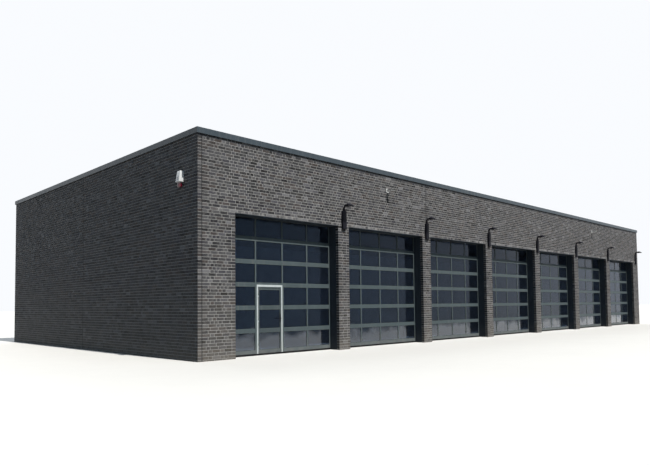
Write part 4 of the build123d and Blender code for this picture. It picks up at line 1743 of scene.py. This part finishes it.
@dataclass
class WallLights:
    """The lights over the piers: a ballast box, a bent neck and a tapered head with a shallow glass."""

    dressing: Dressing
    corner: float = 0.012
    cover_rim: float = 0.012
    cover_stand: float = 0.004
    cover_sheet: float = 0.006
    cover_arris: float = 0.0028
    box_depth: float = 0.076
    box_inset: float = 0.010
    neck_radius: float = 0.030
    neck_rise: float = 0.080
    neck_bend: float = 0.095
    neck_reach: float = 0.035
    collar: float = 0.042
    collar_height: float = 0.020
    collar_out: float = 0.008
    collar_arris: float = 0.004
    screw_radius: float = 0.006
    screw_length: float = 0.004
    screw_inset: tuple[float, float] = (0.028, 0.035)
    screw_sunk: float = 0.0005
    screw_arris: float = 0.001
    crown: float = 0.84
    crown_rise: float = 0.95
    crown_fall: float = 1.50
    chin: float = 0.27
    shoulder: float = 0.34
    taper: float = 0.55
    lean: float = 0.10
    head_cuts: int = 7
    head_arris: float = 0.006
    latch_half: float = 0.014
    latch_from_nose: tuple[float, float] = (0.030, 0.058)
    latch_from_foot: tuple[float, float] = (0.004, 0.014)
    latch_arris: float = 0.002
    glass_aside: float = 0.036
    glass_from_wall: tuple[float, float] = (0.035, 0.165)
    glass_from_foot: tuple[float, float] = (-0.001, 0.004)
    glass_rim: float = 0.006
    glass_crown: float = 0.0015
    glass_arris: float = 0.001

    def build(self) -> None:
        """Model one light and copy it to every pier."""
        rooms = solids_of("light_brackets")
        shifts = [room.centre.x - rooms[0].centre.x for room in rooms]
        head_room = solids_of("light_heads")[0]
        for name, piece, slot, nodes in (
                ("wall_light_brackets", self.bracket(rooms[0]), "light_metal", ["light_brackets"]),
                ("wall_light_heads", self.head(head_room), "light_metal", ["light_heads"]),
                ("wall_light_glasses", self.glass(head_room), "sounder_white", [])):
            pattern = Pattern.from_piece(piece)
            places = np.stack([pattern.places + np.array((shift, 0.0, 0.0)) for shift in shifts])
            copies = pattern.laid(name, places)
            shade(copies)
            self.dressing.seat(copies, slot, replaces=nodes)

    def bracket(self, room: Box) -> Piece:
        """Model the ballast box with its cover, screws, collar and neck.

        Args:
            room: The box of the CAD bracket.

        Returns:
            The bracket.
        """
        back, foot, middle = room.high.y, room.low.z, room.centre.x
        front = back - self.box_depth
        top = room.high.z - self.neck_radius - self.neck_bend - self.neck_rise
        left, right = room.low.x + self.box_inset, room.high.x - self.box_inset
        rim = self.cover_rim
        box = soft_block("ballast", (left, front + self.cover_stand, foot), (right, back, top),
                         self.corner, 3)
        cover = soft_block("cover", (left + rim, front, foot + rim),
                           (right - rim, front + self.cover_sheet, top - rim), self.cover_arris)
        y = (front + back) / 2
        collar = new_round("collar", (middle, y, top + self.collar_out), self.collar, self.collar_height,
                           sides=28)
        soften(collar, self.collar_arris, 2)
        neck = bent_bar("neck", Vector((middle, y, top)), Vector((0, 0, 1)), self.neck_rise, self.neck_bend,
                        Vector((0, -1, 0)), self.neck_reach, self.neck_radius)
        aside, inset = self.screw_inset
        screws = []
        for way in (-1, 1):
            x = middle + way * ((right - left) / 2 - aside)
            for z in (foot + inset, top - inset):
                screw = new_round("screw", (x, front - self.screw_sunk, z), self.screw_radius,
                                  self.screw_length, lying=True, sides=12)
                soften(screw, self.screw_arris, 1)
                screws.append(screw)
        return join("bracket", [box, cover, collar, neck, *screws])

    def head(self, room: Box) -> Piece:
        """Model the cast head: a round crown behind the neck's end, thin and narrow at its nose.

        Args:
            room: The box of the CAD head.

        Returns:
            The head with its latch.
        """
        body = new_block("head", room.low, room.high)
        middle, size = room.centre, room.size
        with editing(body) as mesh:
            bpy.ops.mesh.subdivide(number_cuts=self.head_cuts, smoothness=0.0)
            for vertex in mesh.verts:
                along = (room.high.y - vertex.co.y) / size.y
                aside = (vertex.co.x - middle.x) / (size.x / 2)
                up = (vertex.co.z - room.low.z) / size.z
                top = self.crown + self.crown_rise * along - self.crown_fall * along ** 2
                foot = self.chin * max(0.0, along - 0.5)
                shoulder = 1.0 - self.shoulder * abs(aside) ** 2.5 * up
                plan = 1.0 - self.taper * abs(2 * along - 1) ** 3
                vertex.co.x = middle.x + aside * size.x / 2 * plan * (1.0 - self.lean * up ** 2)
                vertex.co.z = room.low.z + size.z * (foot + (top - foot) * up * shoulder)
            bmesh.update_edit_mesh(body.data)
        soften(body, self.head_arris, 3, sharp=50.0)
        (y0, y1), (z0, z1), half = self.latch_from_nose, self.latch_from_foot, self.latch_half
        latch = soft_block("latch", (middle.x - half, room.low.y + y0, room.low.z + z0),
                           (middle.x + half, room.low.y + y1, room.low.z + z1), self.latch_arris)
        return join("head", [body, latch])

    def glass(self, room: Box) -> Piece:
        """Model the shallow glass under the head, crowned downward inside its rim.

        Args:
            room: The box of the CAD head.

        Returns:
            The glass.
        """
        (near, far), (z0, z1), aside = self.glass_from_wall, self.glass_from_foot, self.glass_aside
        glass = new_block("glass", (room.low.x + aside, room.high.y - far, room.low.z + z0),
                          (room.high.x - aside, room.high.y - near, room.low.z + z1))
        with editing(glass, lambda centre, normal: normal.z < -0.9):
            bpy.ops.mesh.inset(thickness=self.glass_rim)
            bpy.ops.transform.translate(value=(0, 0, self.glass_crown))
        soften(glass, self.glass_arris, 1)
        return glass


@dataclass
class Sounder:
    """The alarm sounder: a tapered cover on a base, grille slots drawn as dark strips of painted shade, and a
    ribbed dome lens under it.
    """

    dressing: Dressing
    radius: float = 0.012
    base_sheet: float = 0.014
    base_aside: float = 0.010
    base_foot: float = 0.004
    base_head: float = 0.006
    base_arris: float = 0.004
    depth: float = 0.160
    depth_at_top: float = 0.110
    slope: float = 0.050
    narrowing: float = 160.0 / 185.0
    slot_count: int = 5
    slot_foot: float = 0.06
    slot_pitch: float = 0.018
    slot_half: float = 0.003
    slot_aside: float = 0.045
    slot_stand: float = 0.0012
    slot_sunk: float = 0.004
    slot_arris: float = 0.0008
    dome_bevel: float = 0.055
    ring_radius: float = 0.066
    ring_height: float = 0.016
    ring_arris: float = 0.003

    def build(self) -> None:
        """Model the cover on its base, the slots and the lens with its ring."""
        room = Box(*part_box("sounder_housing"))
        wall = room.high.x - self.base_sheet
        cover = self.cover(room, wall)
        low, high = room
        base = soft_block("sounder_base", (wall, low.y + self.base_aside, low.z + self.base_foot),
                          (high.x, high.y - self.base_aside, high.z - self.base_head), self.base_arris)
        self.dressing.seat(join("sounder_cover", [cover, base]), "sounder_white",
                           replaces=["sounder_housing"])
        # The grille slots are dark strips: painted shade in place of open slots
        self.dressing.seat(join("sounder_slot_shade", self.slots(room)), "seal_rubber")
        self.lens(Box(*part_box("sounder_lens")))

    def cover(self, room: Box, wall: float) -> Piece:
        """Model the cover, which narrows upward in depth and width.

        Args:
            room: The box of the CAD housing.
            wall: Where the cover meets its base.

        Returns:
            The cover.
        """
        low, high = room
        cover = new_block("sounder_cover", low, (wall, high.y, high.z))
        shallower = (self.depth_at_top - self.base_sheet) / (self.depth - self.base_sheet)
        middle = (low.y + high.y) / 2
        with editing(cover) as mesh:
            for vertex in mesh.verts:
                if vertex.co.z > (low.z + high.z) / 2:
                    vertex.co.x = wall + (vertex.co.x - wall) * shallower
                    vertex.co.y = middle + (vertex.co.y - middle) * self.narrowing
            bmesh.update_edit_mesh(cover.data)
        soften(cover, self.radius, 4)
        return cover

    def slots(self, room: Box) -> list[Piece]:
        """Model the grille's slots on the sloping face as dark strips, painted shade where the slots would be
        open.

        Args:
            room: The box of the CAD housing.

        Returns:
            The slots, from the lowest up.
        """
        low, high = room
        slots = []
        for step in range(self.slot_count):
            z = low.z + self.slot_foot + step * self.slot_pitch
            face = low.x + self.slope * ((z - low.z) / (high.z - low.z))
            slots.append(soft_block(
                "slot", (face - self.slot_stand, low.y + self.slot_aside, z - self.slot_half),
                (face + self.slot_sunk, high.y - self.slot_aside, z + self.slot_half), self.slot_arris, 1))
        return slots

    def lens(self, room: Box) -> None:
        """Model the dome lens, rounded at its foot, and the ring that holds it.

        Args:
            room: The box of the CAD lens.
        """
        low, high = room
        middle = ((low.x + high.x) / 2, (low.y + high.y) / 2)
        height = high.z - low.z
        lens = new_round("sounder_dome", (*middle, low.z + height / 2), (high.x - low.x) / 2, height,
                         sides=32)
        with editing(lens, lambda centre, normal: normal.z < -0.9):
            bpy.ops.mesh.bevel(offset=self.dome_bevel, segments=8, profile=0.5)
        shade(lens, 40.0)
        ring = new_round("sounder_ring", (*middle, high.z - self.ring_height / 2), self.ring_radius,
                         self.ring_height, sides=32)
        soften(ring, self.ring_arris, 2)
        self.dressing.seat(lens, "lens_red", replaces=["sounder_lens"])
        self.dressing.seat(ring, "sounder_white")


# Studio

@dataclass(frozen=True)
class Lamp:
    """A sun lamp: where its light comes from, how strong it is and how wide it spreads.

    to_right is measured from the front's outward normal and height from the ground, in degrees.
    """

    name: str
    to_right: float
    height: float
    strength: float
    spread: float
    colour: Colour

    def build(self) -> None:
        """Hang the lamp."""
        data = bpy.data.lights.new(self.name, "SUN")
        data.energy = self.strength
        data.angle = math.radians(self.spread)
        data.color = self.colour
        lamp = bpy.data.objects.new(self.name, data)
        turn, rise = math.radians(self.to_right), math.radians(self.height)
        towards = Vector((math.sin(turn) * math.cos(rise), -math.cos(turn) * math.cos(rise), math.sin(rise)))
        lamp.rotation_euler = (-towards).to_track_quat("-Z", "Y").to_euler()
        bpy.context.scene.collection.objects.link(lamp)


@dataclass
class Studio:
    """Floor, lamps, world and camera."""

    dressing: Dressing
    lamps: tuple[Lamp, ...] = (
        Lamp("key", 2.0, 57.0, 4.65, 1.2, (1.0, 0.98, 0.95)),
        Lamp("rear_fill", 155.0, 38.0, 1.6, 60.0, (0.95, 0.97, 1.0)),
    )
    floor_reach: float = 320.0
    floor_colour: Colour = (0.66, 0.645, 0.61)
    sky: Colour = (0.34, 0.64, 1.0)
    sky_strength: float = 0.20
    backdrop: Colour = (0.95, 0.97, 1.0)
    eye: Vector = field(default_factory=lambda: Vector((-24.7356, -20.2923, 1.4112)))
    heading: float = 44.413
    tilt: float = 2.707
    roll: float = -0.6181
    lens: float = 32.566
    sensor: float = 36.0
    rise: float = 0.06949
    sight: float = 1000.0

    def build(self) -> None:
        """Set up the whole studio."""
        self.floor()
        for lamp in self.lamps:
            lamp.build()
        self.world()
        self.camera()
        bpy.context.scene.view_settings.view_transform = "Standard"

    def floor(self) -> None:
        """Lay the pale floor, a round flat sheet that reaches far beyond the hall."""
        clear_selection()
        bpy.ops.mesh.primitive_circle_add(vertices=96, radius=self.floor_reach, fill_type="NGON",
                                          location=(0.0, 0.0, 0.0))
        floor = bpy.context.active_object
        floor.name = "studio_floor"
        finish = StudioFloor("studio_floor", self.floor_colour)
        floor.data.materials.append(finish.build(self.dressing.effects))
        floor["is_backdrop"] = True

    def world(self) -> None:
        """Light softly from all round, and show a pale background to the eye, in gloss and in glass."""
        world = bpy.data.worlds.new("studio")
        bpy.context.scene.world = world
        world.use_nodes = True
        world.node_tree.nodes.clear()
        sheet = Sheet(world.node_tree)
        soft = sheet.node("ShaderNodeBackground", {"Color": self.sky, "Strength": self.sky_strength})
        shown = sheet.node("ShaderNodeBackground", {"Color": self.backdrop, "Strength": 1.0})
        both = sheet.node("ShaderNodeMixShader",
                          {0: sheet.seen_rays(), 1: soft.outputs[0], 2: shown.outputs[0]})
        sheet.node("ShaderNodeOutputWorld", {"Surface": both.outputs[0]})

    def camera(self) -> None:
        """Stand the camera where the photograph was taken from."""
        data = bpy.data.cameras.new("camera")
        data.lens = self.lens
        data.sensor_width = self.sensor
        data.sensor_fit = "HORIZONTAL"
        data.shift_y = self.rise
        data.clip_end = self.sight
        camera = bpy.data.objects.new("camera", data)
        bpy.context.scene.collection.objects.link(camera)
        yaw, pitch, roll = (math.radians(angle) for angle in (self.heading, self.tilt, self.roll))
        ahead = Vector((math.sin(yaw) * math.cos(pitch), math.cos(yaw) * math.cos(pitch), math.sin(pitch)))
        level = Vector((math.cos(yaw), -math.sin(yaw), 0.0))
        upward = level.cross(ahead)
        right = math.cos(roll) * level + math.sin(roll) * upward
        up = -math.sin(roll) * level + math.cos(roll) * upward
        turn = Matrix((right, up, -ahead)).transposed().to_4x4()
        camera.matrix_world = Matrix.Translation(self.eye) @ turn
        bpy.context.scene.camera = camera


WALL_NODES = ("left_wall", "right_wall", "rear_wall", "front_band", "front_end_pier_left",
              "front_end_pier_right", "front_piers")


def dress_nodes(dressing: Dressing) -> None:
    """Give every CAD node its finish, and the walls the mortar that the bricks are laid on."""
    for part in FRAME["record"]["subparts"]:
        node, slot = part["node"], part["material_slot"]
        dressing.dress_node(node, MORTAR if node in WALL_NODES else slot)


def main() -> None:
    """Dress the hall, piece by piece, and set up the studio."""
    logging.basicConfig(level=logging.INFO, format="%(name)s %(message)s")
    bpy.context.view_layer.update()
    dressing = Dressing()
    Studio(dressing).build()
    dress_nodes(dressing)
    for assembly in (BrickShell(dressing), CopingTrim(dressing), RoofTrim(dressing), DoorTrim(dressing),
                     PassDoorTrim(dressing), WallLights(dressing), Sounder(dressing)):
        assembly.build()
        LOG.info("%s is built", type(assembly).__name__)


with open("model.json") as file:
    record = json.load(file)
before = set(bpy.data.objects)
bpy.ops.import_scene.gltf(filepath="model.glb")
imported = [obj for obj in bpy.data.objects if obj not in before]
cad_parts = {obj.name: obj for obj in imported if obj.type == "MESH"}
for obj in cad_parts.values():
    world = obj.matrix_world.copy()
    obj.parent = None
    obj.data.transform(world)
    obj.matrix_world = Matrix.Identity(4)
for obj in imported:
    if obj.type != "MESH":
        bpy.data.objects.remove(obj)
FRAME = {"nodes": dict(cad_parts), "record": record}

if __name__ == "__main__":
    main()
